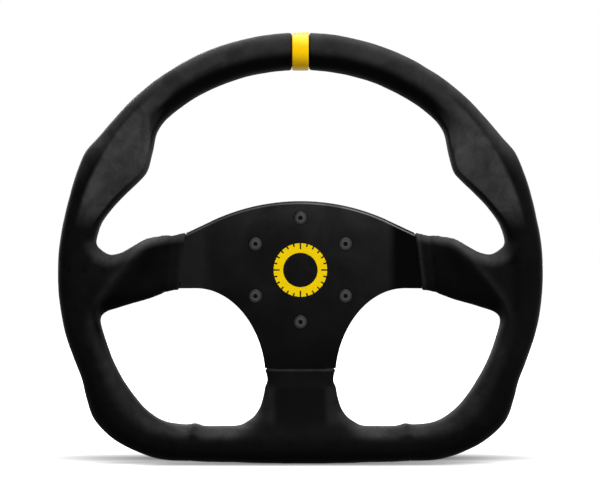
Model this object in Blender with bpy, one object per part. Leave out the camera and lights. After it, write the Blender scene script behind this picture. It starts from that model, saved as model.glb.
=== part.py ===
"""Quick release steering wheel: a flat-bottomed three-spoke wheel with its half of a ball-lock coupler.

Sizes are in metres. The steering axis is the Y axis: -Y is towards the driver, +Y towards the steering
column, and +Z is twelve o'clock. The origin is the centre of the coupler's rear end face, where the column
enters.
"""

from math import asin, atan2, cos, degrees, pi, radians, sin, sqrt

import bmesh
import bpy
from mathutils import Matrix, Vector

MM = 0.001
CLEARANCE = 0.3 * MM  # running gap and seat gap between neighbouring pieces
OVERSHOOT = 1 * MM  # how far a cutter runs past the face that it cuts

# ---- Rim -----------------------------------------------------------------------------------------
RIM_WIDTH = 320 * MM  # across the rim at nine and three o'clock
RIM_PARTS = 320  # the rim's and the sleeves' outlines are in parts, and this many make the rim's width
RIM_DEPTH = 30 * MM  # front to back
RIM_ROUNDNESS = 2.4  # exponent of the oval section: 2 is an ellipse, more is squarer
DISH = 39 * MM  # from the plate's mounting face to the front of the rim
# Half of the rim from twelve o'clock down to six: polar angle in degrees, inner and outer radius in parts.
RIM_OUTLINE = [
    (90, 132.5, 157.0),
    (66, 133.2, 157.3),
    (50, 133.6, 157.9),
    (44, 131.5, 158.2),
    (39, 125.4, 158.4),
    (33, 120.4, 159.9),
    (29, 121.6, 161.9),
    (24, 125.6, 161.2),
    (18, 131.0, 160.1),
    (12, 135.6, 159.7),
    (0, 136.6, 160.0),
    (-15, 136.5, 160.5),
    (-26, 137.2, 161.0),
    (-31, 137.4, 164.5),
    (-36, 137.5, 167.9),
    (-42, 137.1, 166.1),
    (-48, 134.1, 161.3),
    (-54, 126.0, 155.3),
    (-60, 118.8, 146.1),
    (-66, 112.4, 139.1),
    (-72, 107.8, 133.8),
    (-81, 103.8, 129.2),
    (-90, 102.5, 127.7),
]
THUMB_ANGLE = radians(32)  # middle of each thumb rest
THUMB_SPREAD = radians(19)  # half its length round the rim
THUMB_SCOOP = 6 * MM  # how far the front drops at the inner edge of a thumb rest
RIM_STATIONS = 54
RIM_SIDES = 12
COVER_THICKNESS = 1.2 * MM
BAND_WIDTH = 10.8 * MM
BAND_PROUD = 0.2 * MM
SEAM_X = 72.5 * MM  # where the bottom cover meets the side covers
SEAM_TOP = -55 * MM  # a height between the bottom sleeve's edge and the side arms

# ---- Frame: the plate, its arms and the ring inside the rim, all one piece -----------------------
PLATE_THICKNESS = 4 * MM
PLATE_TOP = 46.4 * MM
PLATE_TOP_RADIUS = 140.5 * MM
PLATE_TOP_ARC_END = 58 * MM  # half width at which the top arc ends and the straight edge to the sleeve begins
ARM_UPPER_EDGE = 25 * MM  # at the side sleeve's edge
ARM_LOWER_EDGE = -12.2 * MM
CUTOUT_CENTRE_X = 70.7 * MM  # the elliptical cut-out between a side arm and the bottom arm
CUTOUT_HALF_WIDTH = 47.3 * MM
CUTOUT_HALF_HEIGHT = 62.4 * MM
SIDE_BEND_START = 62 * MM
SIDE_BEND_END = 115 * MM
BOTTOM_BEND_START = -67 * MM
BOTTOM_BEND_END = -107 * MM
FRAME_RING_WIDTH = 10 * MM
FRAME_RING_INSET = 12.6 * MM  # from the rim's outer edge to the middle of the frame's ring
NECK_DROP = 4 * MM  # how much narrower, on each side, an arm is inside its sleeve
SIDE_NECK_END = (-20 * MM, 7 * MM)  # lower and upper edge of the side arm where it joins the ring
BOTTOM_NECK_HALF_WIDTH = 17 * MM
TUNNEL_OVERRUN = 6 * MM  # how far the core's tunnels are cut past the sleeves' edges

# ---- Spoke sleeves -------------------------------------------------------------------------------
SLEEVE_LEAN = -0.118  # sideways run of a side sleeve's inner edge for each unit of height
# Side sleeve from its edge to the rim, in parts: distance from the axis, lower edge, upper edge and half
# thickness.
SIDE_SLEEVE = [
    (78.8, -13.0, 25.4, 6.2),
    (86, -13.9, 23.6, 6.3),
    (92, -15.7, 23.4, 6.6),
    (98, -17.7, 22.5, 6.9),
    (105, -20.0, 20.1, 7.4),
    (113, -22.4, 14.9, 8.4),
    (119, -24.2, 11.5, 9.4),
    (125, -26.4, 10.7, 10.6),
    (129, -29.5, 12.4, 11.4),
    (133, -37.5, 17.5, 12.2),
    (141, -44.0, 25.0, 12.6),
]
# Bottom sleeve from its edge to the rim, in parts: height, half width, half thickness.
BOTTOM_SLEEVE = [
    (-66.3, 23.7, 6.2),
    (-71, 22.6, 6.2),
    (-75.5, 22.2, 6.2),
    (-77, 23.7, 6.8),
    (-80, 24.2, 7.2),
    (-86, 25.4, 8.1),
    (-92.5, 27.8, 9.4),
    (-98, 32.4, 10.8),
    (-101.5, 38.5, 11.8),
    (-110, 47.0, 12.4),
]
SLEEVE_SIDES = 10
SLEEVE_ROUNDNESS = 3.6

# ---- Screws --------------------------------------------------------------------------------------
SCREW_COUNT = 6
SCREW_CIRCLE = 70 * MM
SCREW_DIAMETER = 5 * MM
SCREW_HEAD = 9.2 * MM
SCREW_LENGTH = 12 * MM
SCREW_RIM = 0.4 * MM  # straight edge of the countersunk head
SCREW_SINK = 0.1 * MM  # how far the head lies below the plate's front
HEX_ACROSS_FLATS = 3 * MM
HEX_DEPTH = 1.8 * MM

# ---- Coupler, from its rear end face at the origin to the plate ----------------------------------
COUPLER_LENGTH = 38 * MM
FLANGE_MARGIN = 7 * MM  # from the screws' circle out to the flange's edge
FLANGE_THICKNESS = 8 * MM
BARREL_DIAMETER = 36 * MM
BORE_DIAMETER = 26 * MM
SPLINE_TEETH = 18
SPLINE_STEP = 0.5 * MM  # from the plain bore in to the bottom of the spline's grooves
SPLINE_HEIGHT = 1.2 * MM
SPLINE_START = -16 * MM
BALL_COUNT = 6
BALL_STEP = 1 * MM  # how far a locked ball stands into the bore
BALL_TRAVEL = 1.2 * MM
BALL_LIP = 0.4 * MM  # wall left at the bore so that a ball can't fall through
RING_TRAVEL = 7 * MM
CLIP_THICKNESS = 1.5 * MM
CLIP_FRONT = -3 * MM
CLIP_GROOVE_DEPTH = 1.4 * MM
CLIP_WIDTH = 4.2 * MM
CLIP_MOUTH = radians(24)
RING_WALL = 3.6 * MM  # release ring, outside the spring
RING_LENGTH = 19 * MM
RING_FLANGE_DIAMETER = 68 * MM
RING_FLANGE_THICKNESS = 5 * MM
RING_FLANGE_SETBACK = 2 * MM
LAND_LENGTH = 3 * MM  # the stretch of the release ring that holds the balls in
SPRING_WIRE = 1.8 * MM
SPRING_TURNS = 3.5
SPRING_SPACE = 4.6 * MM  # between the barrel and the release ring's counterbore
TURNED_SIDES = 36
HOLE_SIDES = 18

# ---- Worked out from the sizes above -------------------------------------------------------------
PART = RIM_WIDTH / RIM_PARTS
PLATE_BACK = -(COUPLER_LENGTH + CLEARANCE)
PLATE_FRONT = PLATE_BACK - PLATE_THICKNESS
PLATE_MIDDLE = (PLATE_BACK + PLATE_FRONT) / 2
RIM_MIDDLE = PLATE_BACK - DISH + RIM_DEPTH / 2
RISE = RIM_MIDDLE - PLATE_MIDDLE
BARREL_RADIUS = BARREL_DIAMETER / 2
BORE_RADIUS = BORE_DIAMETER / 2
SPLINE_TIP_RADIUS = BORE_RADIUS - SPLINE_STEP - SPLINE_HEIGHT
FLANGE_BACK = -COUPLER_LENGTH + FLANGE_THICKNESS
FLANGE_RADIUS = SCREW_CIRCLE / 2 + FLANGE_MARGIN
BALL_RADIUS = (BARREL_RADIUS - BORE_RADIUS + BALL_STEP) / 2
BALL_CIRCLE_RADIUS = BARREL_RADIUS - BALL_RADIUS
LAND_RADIUS = BARREL_RADIUS + CLEARANCE
RING_REAR = CLIP_FRONT - CLEARANCE
RING_FRONT = RING_REAR - RING_LENGTH
BALL_PLANE = RING_REAR - RING_TRAVEL
SPRING_SEAT = BALL_PLANE - LAND_LENGTH
COUNTERBORE_RADIUS = BARREL_RADIUS + SPRING_SPACE


def clear_scene():
    for obj in list(bpy.data.objects):
        bpy.data.objects.remove(obj)


def make_material(name, colour, roughness, metallic):
    made = bpy.data.materials.new(name)
    made.use_nodes = True
    shader = made.node_tree.nodes["Principled BSDF"]
    shader.inputs["Base Color"].default_value = (*colour, 1)
    shader.inputs["Roughness"].default_value = roughness
    shader.inputs["Metallic"].default_value = metallic
    return made


def make_object(name, bm, material, parent=None, sharp=radians(35)):
    """An object from a bmesh, its doubles merged, its faces outwards and its round parts shaded smooth."""
    bmesh.ops.remove_doubles(bm, verts=bm.verts, dist=1e-7)
    bmesh.ops.recalc_face_normals(bm, faces=bm.faces)
    mesh = bpy.data.meshes.new(name)
    bm.to_mesh(mesh)
    bm.free()
    mesh.materials.append(material)
    mesh.shade_smooth()
    mesh.set_sharp_from_angle(angle=sharp)
    obj = bpy.data.objects.new(name, mesh)
    bpy.context.scene.collection.objects.link(obj)
    obj.parent = parent
    return obj


def combine(target, others, operation):
    """Applies one exact Boolean of the target with all the others at once, and removes the others."""
    operands = bpy.data.collections.new("operands")
    for other in others:
        operands.objects.link(other)
    modifier = target.modifiers.new(operation.lower(), "BOOLEAN")
    modifier.operand_type = "COLLECTION"
    modifier.collection = operands
    modifier.operation = operation
    modifier.solver = "EXACT"
    bpy.context.view_layer.update()
    graph = bpy.context.evaluated_depsgraph_get()
    mesh = bpy.data.meshes.new_from_object(target.evaluated_get(graph))
    target.modifiers.clear()
    target.data = mesh
    for other in others:
        bpy.data.objects.remove(other)
    bpy.data.collections.remove(operands)


def copied(obj, name):
    made = obj.copy()
    made.name = name
    made.data = obj.data.copy()
    bpy.context.scene.collection.objects.link(made)
    return made


def smoothed(table, at, flat_ends=False):
    """The table's other columns where its first column is `at`, on a smooth curve through its rows."""
    rows = sorted(table)
    at = min(max(at, rows[0][0]), rows[-1][0])
    index = max(i for i in range(len(rows) - 1) if rows[i][0] <= at)
    low, high = rows[index], rows[index + 1]
    span = high[0] - low[0]
    share = (at - low[0]) / span

    def slope(i, column):
        if flat_ends and i in (0, len(rows) - 1):
            return 0.0
        before, after = rows[max(i - 1, 0)], rows[min(i + 1, len(rows) - 1)]
        return (after[column] - before[column]) / (after[0] - before[0])

    values = []
    for column in range(1, len(low)):
        rise = high[column] - low[column]
        start, end = slope(index, column) * span, slope(index + 1, column) * span
        bend = share * (1 - share) * (start * (1 - share) - end * share)
        values.append(low[column] + rise * share * share * (3 - 2 * share) + bend)
    return values


def smooth_step(low, high, at):
    share = min(max((at - low) / (high - low), 0), 1)
    return share * share * (3 - 2 * share)


def oval(half_width, half_height, turn, roundness):
    """A point on a squared ellipse, at the parameter `turn`."""

    def stretch(value):
        return abs(value) ** (2 / roundness) * (1 if value >= 0 else -1)

    return half_width * stretch(cos(turn)), half_height * stretch(sin(turn))


def loft(rings, closed=False):
    """A skin over rings of points: closed round on itself, or with a face at each end.

    Its quads are split the same way every time, so that one loft inside another keeps its distance.
    """
    bm = bmesh.new()
    loops = [[bm.verts.new(point) for point in ring] for ring in rings]
    pairs = list(zip(loops, loops[1:]))
    if closed:
        pairs.append((loops[-1], loops[0]))
    for first, second in pairs:
        for i in range(len(first)):
            j = (i + 1) % len(first)
            bm.faces.new((first[i], first[j], second[j]))
            bm.faces.new((first[i], second[j], second[i]))
    if not closed:
        bm.faces.new(loops[0])
        bm.faces.new(loops[-1])
    return bm


def block(low, high):
    """A box between two corners."""
    bm = bmesh.new()
    bmesh.ops.create_cube(bm, size=1)
    low, high = Vector(low), Vector(high)
    bmesh.ops.scale(bm, vec=high - low, verts=bm.verts)
    bmesh.ops.translate(bm, vec=(low + high) / 2, verts=bm.verts)
    return bm


def lathe(profile, closed=True, sides=TURNED_SIDES):
    """Turns points of (radius, y) round the Y axis. An open profile runs from the axis to the axis."""
    bm = bmesh.new()
    points = [bm.verts.new((radius, y, 0)) for radius, y in profile]
    ends = list(zip(points, points[1:]))
    if closed:
        ends.append((points[-1], points[0]))
    edges = [bm.edges.new(pair) for pair in ends]
    bmesh.ops.spin(
        bm, geom=points + edges, cent=(0, 0, 0), axis=(0, 1, 0), angle=2 * pi, steps=sides, use_merge=True
    )
    bmesh.ops.remove_doubles(bm, verts=bm.verts, dist=1e-7)
    return bm


def prism(outline, start, end):
    """Extrudes an outline of (x, z) points along Y."""
    return loft([[Vector((x, y, z)) for x, z in outline] for y in (start, end)])


def turned(bm, angle):
    """Turns a mesh about the steering axis, so that what pointed to +X points to `angle`."""
    bmesh.ops.rotate(bm, verts=bm.verts, cent=(0, 0, 0), matrix=Matrix.Rotation(-angle, 3, "Y"))
    return bm


def mirrored(bm):
    bmesh.ops.scale(bm, vec=(-1, 1, 1), verts=bm.verts)
    return bm


# ---- Rim and sleeves -----------------------------------------------------------------------------
def rim_radii(angle):
    """Inner and outer radius of the rim at a polar angle, the same on both sides."""
    folded = degrees(atan2(sin(angle), abs(cos(angle))))
    inner, outer = smoothed(RIM_OUTLINE, folded, flat_ends=True)
    return inner * PART, outer * PART


def scoop(angle):
    """Depth of the thumb rest's scoop at a polar angle."""
    folded = atan2(sin(angle), abs(cos(angle)))
    return THUMB_SCOOP * (1 - smooth_step(0, THUMB_SPREAD, abs(folded - THUMB_ANGLE)))


def rim_point(angle, turn, inset):
    """A point `inset` below the rim's surface. Turn 0 faces outwards, and a quarter turn backwards."""
    inner, outer = rim_radii(angle)
    across = (outer - inner) / 2 - inset
    outwards, back = oval(across, RIM_DEPTH / 2 - inset, turn, RIM_ROUNDNESS)
    if back < 0:
        lowered = 1 - scoop(angle) / (RIM_DEPTH / 2) * smooth_step(-0.3, 0.9, -outwards / across)
        back *= lowered
    radius = (inner + outer) / 2 + outwards
    return Vector((radius * cos(angle), RIM_MIDDLE + back, radius * sin(angle)))


def rim_ring(angle, inset):
    return [rim_point(angle, 2 * pi * i / RIM_SIDES, inset) for i in range(RIM_SIDES)]


def side_arm_middle(x):
    share = min(max((x - SIDE_BEND_START) / (SIDE_BEND_END - SIDE_BEND_START), 0), 1)
    return PLATE_MIDDLE + RISE * share


def bottom_arm_middle(z):
    share = min(max((z - BOTTOM_BEND_START) / (BOTTOM_BEND_END - BOTTOM_BEND_START), 0), 1)
    return PLATE_MIDDLE + RISE * share


def sleeve_ring(centre, across, half_width, half_thickness):
    """Ring round a sleeve: `across` is the direction of its width, and its thickness runs along Y."""
    ring = []
    for i in range(SLEEVE_SIDES):
        width, depth = oval(half_width, half_thickness, 2 * pi * (i + 0.5) / SLEEVE_SIDES, SLEEVE_ROUNDNESS)
        ring.append(centre + across * width + Vector((0, depth, 0)))
    return ring


def sleeve_rows(table, start):
    """A sleeve's rows from `start` past its edge on. A negative start reaches out beyond the edge."""
    first, second = table[0], table[1]
    direction = 1 if second[0] > first[0] else -1
    share = max(start / PART / abs(second[0] - first[0]), 0)
    moved = [a + (b - a) * share for a, b in zip(first[1:], second[1:])]
    rest = table if start < 0 else table[1:]
    return [(first[0] + direction * start / PART, *moved), *rest]


def side_sleeve(inset, start):
    """The right-hand sleeve, `inset` below its surface."""
    rings = []
    lean = Vector((SLEEVE_LEAN, 0, 1))
    for distance, low, high, half_thickness in sleeve_rows(SIDE_SLEEVE, start):
        x = distance * PART
        middle = Vector((x, side_arm_middle(x), (low + high) / 2 * PART))
        half = ((high - low) / 2 * PART - inset, half_thickness * PART - inset)
        rings.append(sleeve_ring(middle, lean, *half))
    return loft(rings)


def bottom_sleeve(inset, start):
    rings = []
    for height, half_width, half_thickness in sleeve_rows(BOTTOM_SLEEVE, start):
        z = height * PART
        middle = Vector((0, bottom_arm_middle(z), z))
        half = (half_width * PART - inset, half_thickness * PART - inset)
        rings.append(sleeve_ring(middle, Vector((1, 0, 0)), *half))
    return loft(rings)


def padded_body(name, material, inset, start=0.0):
    """The rim with its three spoke sleeves as one solid, `inset` below the finished surface."""
    rings = [rim_ring(2 * pi * i / RIM_STATIONS, inset) for i in range(RIM_STATIONS)]
    body = make_object(name, loft(rings, closed=True), material)
    sleeves = (side_sleeve(inset, start), mirrored(side_sleeve(inset, start)), bottom_sleeve(inset, start))
    combine(body, [make_object("sleeve", bm, material) for bm in sleeves], "UNION")
    return body


def make_covers(material):
    """The rim's skin with its sleeves, cut into a left, a right and a bottom piece."""
    skin = padded_body("skin", material, 0)
    combine(skin, [padded_body("hollow", material, COVER_THICKNESS, start=-COVER_THICKNESS)], "DIFFERENCE")
    reach = RIM_WIDTH
    half_band = BAND_WIDTH / 2 + CLEARANCE
    half_gap = CLEARANCE / 2
    covers = []
    for name, side in (("cover_right", 1), ("cover_left", -1)):
        kept = block((half_band, -reach, -reach), (reach, reach, reach))
        bottom = block((-reach, -reach, -reach), (SEAM_X + half_gap, reach, SEAM_TOP))
        cover = copied(skin, name)
        for bm, operation in ((kept, "INTERSECT"), (bottom, "DIFFERENCE")):
            if side < 0:
                mirrored(bm)
            combine(cover, [make_object("cutter", bm, material)], operation)
        covers.append(cover)
    skin.name = "cover_bottom"
    kept = block((-SEAM_X + half_gap, -reach, -reach), (SEAM_X - half_gap, reach, SEAM_TOP))
    combine(skin, [make_object("cutter", kept, material)], "INTERSECT")
    return [*covers, skin]


def make_band(material):
    """The centre band: a closed strap round the core at twelve o'clock."""
    half_width = BAND_WIDTH / 2
    shoulder = half_width - 2 * BAND_PROUD
    outline = [(half_width, COVER_THICKNESS), (half_width, BAND_PROUD), (shoulder, -BAND_PROUD),
               (-shoulder, -BAND_PROUD), (-half_width, BAND_PROUD), (-half_width, COVER_THICKNESS)]
    steps = 2 * RIM_SIDES
    rings = []
    for i in range(steps):
        ring = []
        for x, inset in outline:
            point = rim_point(pi / 2, 2 * pi * i / steps, inset)
            ring.append(Vector((x, point.y, point.z)))
        rings.append(ring)
    return make_object("centre_band", loft(rings, closed=True), material)


# ---- Frame ---------------------------------------------------------------------------------------
def ring_middle(angle):
    return rim_radii(angle)[1] - FRAME_RING_INSET


def sleeve_edge(z):
    """How far from the axis a side sleeve's inner edge is at a height."""
    distance, low, high, _ = SIDE_SLEEVE[0]
    return distance * PART + SLEEVE_LEAN * (z - (low + high) / 2 * PART)


def side_neck(grow=0.0, overrun=0.0):
    """The right arm inside its sleeve, clockwise from its upper inner corner, `grow` larger all round."""
    low, high = SIDE_NECK_END
    join = ring_middle(0) - FRAME_RING_WIDTH / 4
    upper, lower = ARM_UPPER_EDGE - NECK_DROP, ARM_LOWER_EDGE + NECK_DROP
    upper_x, lower_x = sleeve_edge(upper) - CLEARANCE, sleeve_edge(lower) - CLEARANCE
    neck = [
        (upper_x, upper + grow),
        (SIDE_BEND_END, high + grow),
        (join + grow, high + grow),
        (join + grow, low - grow),
        (SIDE_BEND_END, low - grow),
        (lower_x, lower - grow),
    ]
    if overrun:
        neck = [(upper_x - overrun, upper + grow), *neck, (lower_x - overrun, lower - grow)]
    return neck


def bottom_neck(grow=0.0, overrun=0.0):
    """The right half of the bottom arm inside its sleeve."""
    top = BOTTOM_SLEEVE[0][0] * PART + CLEARANCE
    join = -ring_middle(-pi / 2) + FRAME_RING_WIDTH / 4
    half_width = BOTTOM_NECK_HALF_WIDTH + grow
    return [(half_width, top + overrun), (half_width, join - grow)]


def both_sides(half):
    """A whole outline from its right half, listed from the top down."""
    return half + [(-x, z) for x, z in reversed(half) if x > 0]


def plate_outline():
    """The plate and its arms to where they join the ring, as (x, z) points."""
    arc_end = asin(PLATE_TOP_ARC_END / PLATE_TOP_RADIUS)
    steps = 8
    angles = [pi / 2 - arc_end * i / steps for i in range(steps + 1)]
    drop = PLATE_TOP - PLATE_TOP_RADIUS
    top = [(PLATE_TOP_RADIUS * sin(pi / 2 - a), drop + PLATE_TOP_RADIUS * sin(a)) for a in angles]
    top[0] = (0, PLATE_TOP)
    upper_corner = (sleeve_edge(ARM_UPPER_EDGE) - CLEARANCE, ARM_UPPER_EDGE)
    lower_corner = (sleeve_edge(ARM_LOWER_EDGE) - CLEARANCE, ARM_LOWER_EDGE)
    middle = ARM_LOWER_EDGE - CUTOUT_HALF_HEIGHT
    last = asin((BOTTOM_SLEEVE[0][0] * PART + CLEARANCE - middle) / CUTOUT_HALF_HEIGHT)
    steps = 12
    angles = [pi / 2 + (pi / 2 - last) * i / steps for i in range(steps + 1)]
    cutout = []
    for angle in angles:
        x = CUTOUT_CENTRE_X + CUTOUT_HALF_WIDTH * cos(angle)
        cutout.append((x, middle + CUTOUT_HALF_HEIGHT * sin(angle)))
    return both_sides(top + [upper_corner, *side_neck(), lower_corner] + cutout + bottom_neck())


def sheet(outline, grow=0.0):
    """A flat outline made into plate, `grow` thicker on each face, and bent forwards where its arms bend."""
    half_thickness = PLATE_THICKNESS / 2 + grow
    bm = prism(outline, PLATE_MIDDLE - half_thickness, PLATE_MIDDLE + half_thickness)
    cuts = [((side * x, 0, 0), (1, 0, 0)) for x in (SIDE_BEND_START, SIDE_BEND_END) for side in (-1, 1)]
    cuts += [((0, 0, z), (0, 0, 1)) for z in (BOTTOM_BEND_START, BOTTOM_BEND_END)]
    for point, normal in cuts:
        geometry = bm.verts[:] + bm.edges[:] + bm.faces[:]
        bmesh.ops.bisect_plane(bm, geom=geometry, dist=1e-7, plane_co=point, plane_no=normal)
    for vertex in bm.verts:
        side, bottom = side_arm_middle(abs(vertex.co.x)), bottom_arm_middle(vertex.co.z)
        vertex.co.y += side + bottom - 2 * PLATE_MIDDLE
    return bm


def frame_ring(grow=0.0):
    """The flat ring inside the rim, made `grow` larger all round."""
    half_width, half_thickness = FRAME_RING_WIDTH / 2 + grow, PLATE_THICKNESS / 2 + grow
    corners = [(1, 1), (-1, 1), (-1, -1), (1, -1)]
    rings = []
    for i in range(RIM_STATIONS):
        angle = 2 * pi * i / RIM_STATIONS
        ring = []
        for across, back in corners:
            radius = ring_middle(angle) + across * half_width
            y = RIM_MIDDLE + back * half_thickness
            ring.append(Vector((radius * cos(angle), y, radius * sin(angle))))
        rings.append(ring)
    return loft(rings, closed=True)


def screw_places():
    """The angle of each screw about the axis, the first at twelve o'clock."""
    return [pi / 2 + 2 * pi * i / SCREW_COUNT for i in range(SCREW_COUNT)]


def screw_profile(clearance, reach):
    """A countersunk screw's outline from its head's face, at y = -reach, to its end."""
    head, shank = SCREW_HEAD / 2 + clearance, SCREW_DIAMETER / 2 + clearance
    return [(0, -reach), (head, -reach), (head, SCREW_RIM), (shank, SCREW_RIM + head - shank),
            (shank, SCREW_LENGTH + reach), (0, SCREW_LENGTH + reach)]


def make_frame(material):
    frame = make_object("spoke_frame", sheet(plate_outline()), material)
    combine(frame, [make_object("ring", frame_ring(), material)], "UNION")
    holes = []
    for angle in screw_places():
        hole = lathe(screw_profile(CLEARANCE, OVERSHOOT), closed=False, sides=HOLE_SIDES)
        bmesh.ops.translate(hole, vec=screw_place(angle), verts=hole.verts)
        holes.append(make_object("hole", hole, material))
    combine(frame, holes, "DIFFERENCE")
    return frame


def screw_place(angle):
    """Centre of a screw head's face."""
    radius = SCREW_CIRCLE / 2
    return Vector((radius * cos(angle), PLATE_FRONT + SCREW_SINK, radius * sin(angle)))


def make_core(material):
    """The moulded foam: the padded body without the room that the frame's ring and arms take in it."""
    inset = COVER_THICKNESS + CLEARANCE
    core = padded_body("rim_core", material, inset, start=inset)
    side = side_neck(CLEARANCE, TUNNEL_OVERRUN)
    bottom = both_sides(bottom_neck(CLEARANCE, TUNNEL_OVERRUN))
    tunnels = [frame_ring(CLEARANCE), sheet(bottom, CLEARANCE)]
    tunnels += [sheet(side, CLEARANCE), mirrored(sheet(side, CLEARANCE))]
    combine(core, [make_object("tunnel", tunnel, material) for tunnel in tunnels], "DIFFERENCE")
    return core


# ---- Screws and coupler --------------------------------------------------------------------------
def make_screws(material, parent):
    """Six countersunk screws that share one mesh."""
    turned_screw = lathe(screw_profile(0, 0), closed=False, sides=HOLE_SIDES)
    pattern = make_object("plate_screw_1", turned_screw, material, parent)
    corner = HEX_ACROSS_FLATS / sqrt(3)
    hexagon = [(corner * cos(pi * i / 3), corner * sin(pi * i / 3)) for i in range(6)]
    socket = make_object("socket", prism(hexagon, -HEX_DEPTH, HEX_DEPTH), material)
    combine(pattern, [socket], "DIFFERENCE")
    for number, angle in enumerate(screw_places(), 1):
        screw = pattern
        if number > 1:
            screw = bpy.data.objects.new(f"plate_screw_{number}", pattern.data)
            screw.parent = parent
            bpy.context.scene.collection.objects.link(screw)
        screw.location = screw_place(angle)


def spline_outline():
    """The bore's splined section: grooves, and teeth that stand in from them."""
    outline = []
    pitch = 2 * pi / SPLINE_TEETH
    groove, tooth = BORE_RADIUS - SPLINE_STEP, SPLINE_TIP_RADIUS
    for i in range(SPLINE_TEETH):
        for share, radius in ((-0.25, groove), (0.2, groove), (0.3, tooth), (0.65, tooth)):
            angle = pitch * (i + share)
            outline.append((radius * cos(angle), radius * sin(angle)))
    return outline


def cylinder(radius, start, end, sides=TURNED_SIDES):
    return lathe([(0, start), (radius, start), (radius, end), (0, end)], closed=False, sides=sides)


def ball_hole():
    """Radial hole along +X for a ball, with a lip at the bore."""
    seat = BORE_RADIUS + BALL_LIP
    lip = sqrt(BALL_RADIUS**2 - (BALL_CIRCLE_RADIUS - seat) ** 2) + CLEARANCE
    radius = BALL_RADIUS + CLEARANCE
    start, end = BORE_RADIUS - OVERSHOOT, BARREL_RADIUS + OVERSHOOT
    profile = [(0, start), (lip, start), (lip, seat), (radius, seat), (radius, end), (0, end)]
    bm = lathe(profile, closed=False, sides=HOLE_SIDES)
    bmesh.ops.rotate(bm, verts=bm.verts, cent=(0, 0, 0), matrix=Matrix.Rotation(-pi / 2, 3, "Z"))
    bmesh.ops.translate(bm, vec=(0, BALL_PLANE, 0), verts=bm.verts)
    return bm


def make_coupler_body(material, parent):
    groove = BARREL_RADIUS - CLIP_GROOVE_DEPTH
    groove_front, groove_back = CLIP_FRONT - CLEARANCE, CLIP_FRONT + CLIP_THICKNESS + CLEARANCE
    pilot = SPLINE_TIP_RADIUS - OVERSHOOT
    profile = [(pilot, -COUPLER_LENGTH), (FLANGE_RADIUS, -COUPLER_LENGTH), (FLANGE_RADIUS, FLANGE_BACK),
               (BARREL_RADIUS, FLANGE_BACK), (BARREL_RADIUS, groove_front), (groove, groove_front),
               (groove, groove_back), (BARREL_RADIUS, groove_back), (BARREL_RADIUS, 0), (pilot, 0)]
    body = make_object("coupler_body", lathe(profile), material, parent)
    cutters = [cylinder(BORE_RADIUS, SPLINE_START, OVERSHOOT),
               prism(spline_outline(), -COUPLER_LENGTH - OVERSHOOT, SPLINE_START + OVERSHOOT)]
    cutters += [turned(ball_hole(), 2 * pi * i / BALL_COUNT) for i in range(BALL_COUNT)]
    for angle in screw_places():
        radius = SCREW_DIAMETER / 2 + CLEARANCE
        hole = cylinder(radius, -COUPLER_LENGTH - OVERSHOOT, FLANGE_BACK + OVERSHOOT, sides=HOLE_SIDES)
        turned(hole, radians(4))
        place = screw_place(angle)
        bmesh.ops.translate(hole, vec=(place.x, 0, place.z), verts=hole.verts)
        cutters.append(hole)
    combine(body, [make_object("cutter", cutter, material) for cutter in cutters], "DIFFERENCE")


def make_release_ring(material, parent):
    """The sprung collar: a land that holds the balls in, then a taper that lets them out as it slides."""
    outer = COUNTERBORE_RADIUS + RING_WALL
    flange = RING_FLANGE_DIAMETER / 2
    flange_rear = RING_REAR - RING_FLANGE_SETBACK
    flange_front = flange_rear - RING_FLANGE_THICKNESS
    profile = [(LAND_RADIUS + BALL_TRAVEL, RING_REAR), (outer, RING_REAR), (outer, flange_rear),
               (flange, flange_rear), (flange, flange_front), (outer, flange_front), (outer, RING_FRONT),
               (COUNTERBORE_RADIUS, RING_FRONT), (COUNTERBORE_RADIUS, SPRING_SEAT),
               (LAND_RADIUS, SPRING_SEAT), (LAND_RADIUS, BALL_PLANE)]
    return make_object("release_ring", lathe(profile), material, parent)


def make_spring(material, parent):
    sides, steps_per_turn = 5, 15
    wire = SPRING_WIRE / 2
    radius = BARREL_RADIUS + SPRING_SPACE / 2
    start, end = FLANGE_BACK + CLEARANCE + wire, SPRING_SEAT - CLEARANCE - wire
    count = round(SPRING_TURNS * steps_per_turn)
    rings = []
    for i in range(count + 1):
        angle = 2 * pi * i / steps_per_turn
        y = start + (end - start) * i / count
        ring = []
        for j in range(sides):
            turn = 2 * pi * j / sides
            reach = radius + wire * cos(turn)
            ring.append(Vector((reach * cos(angle), y + wire * sin(turn), reach * sin(angle))))
        rings.append(ring)
    return make_object("return_spring", loft(rings), material, parent)


def make_clip(material, parent):
    """The open clip in the barrel's groove that keeps the release ring on. Its mouth is at the bottom."""
    inner = BARREL_RADIUS - CLIP_GROOVE_DEPTH + CLEARANCE
    steps = 30
    rings = []
    for i in range(steps + 1):
        angle = -pi / 2 + CLIP_MOUTH / 2 + (2 * pi - CLIP_MOUTH) * i / steps
        ring = []
        for radius, y in ((inner, 0), (inner + CLIP_WIDTH, 0), (inner + CLIP_WIDTH, 1), (inner, 1)):
            ring.append(Vector((radius * cos(angle), CLIP_FRONT + y * CLIP_THICKNESS, radius * sin(angle))))
        rings.append(ring)
    return make_object("retaining_clip", loft(rings), material, parent)


def make_balls(material, parent):
    bm = bmesh.new()
    bmesh.ops.create_icosphere(bm, subdivisions=2, radius=BALL_RADIUS)
    pattern = make_object("lock_ball_1", bm, material, parent, sharp=pi)
    for number in range(1, BALL_COUNT + 1):
        ball = pattern
        if number > 1:
            ball = bpy.data.objects.new(f"lock_ball_{number}", pattern.data)
            ball.parent = parent
            bpy.context.scene.collection.objects.link(ball)
        angle = 2 * pi * (number - 1) / BALL_COUNT
        ball.location = (BALL_CIRCLE_RADIUS * cos(angle), BALL_PLANE, BALL_CIRCLE_RADIUS * sin(angle))


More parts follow.
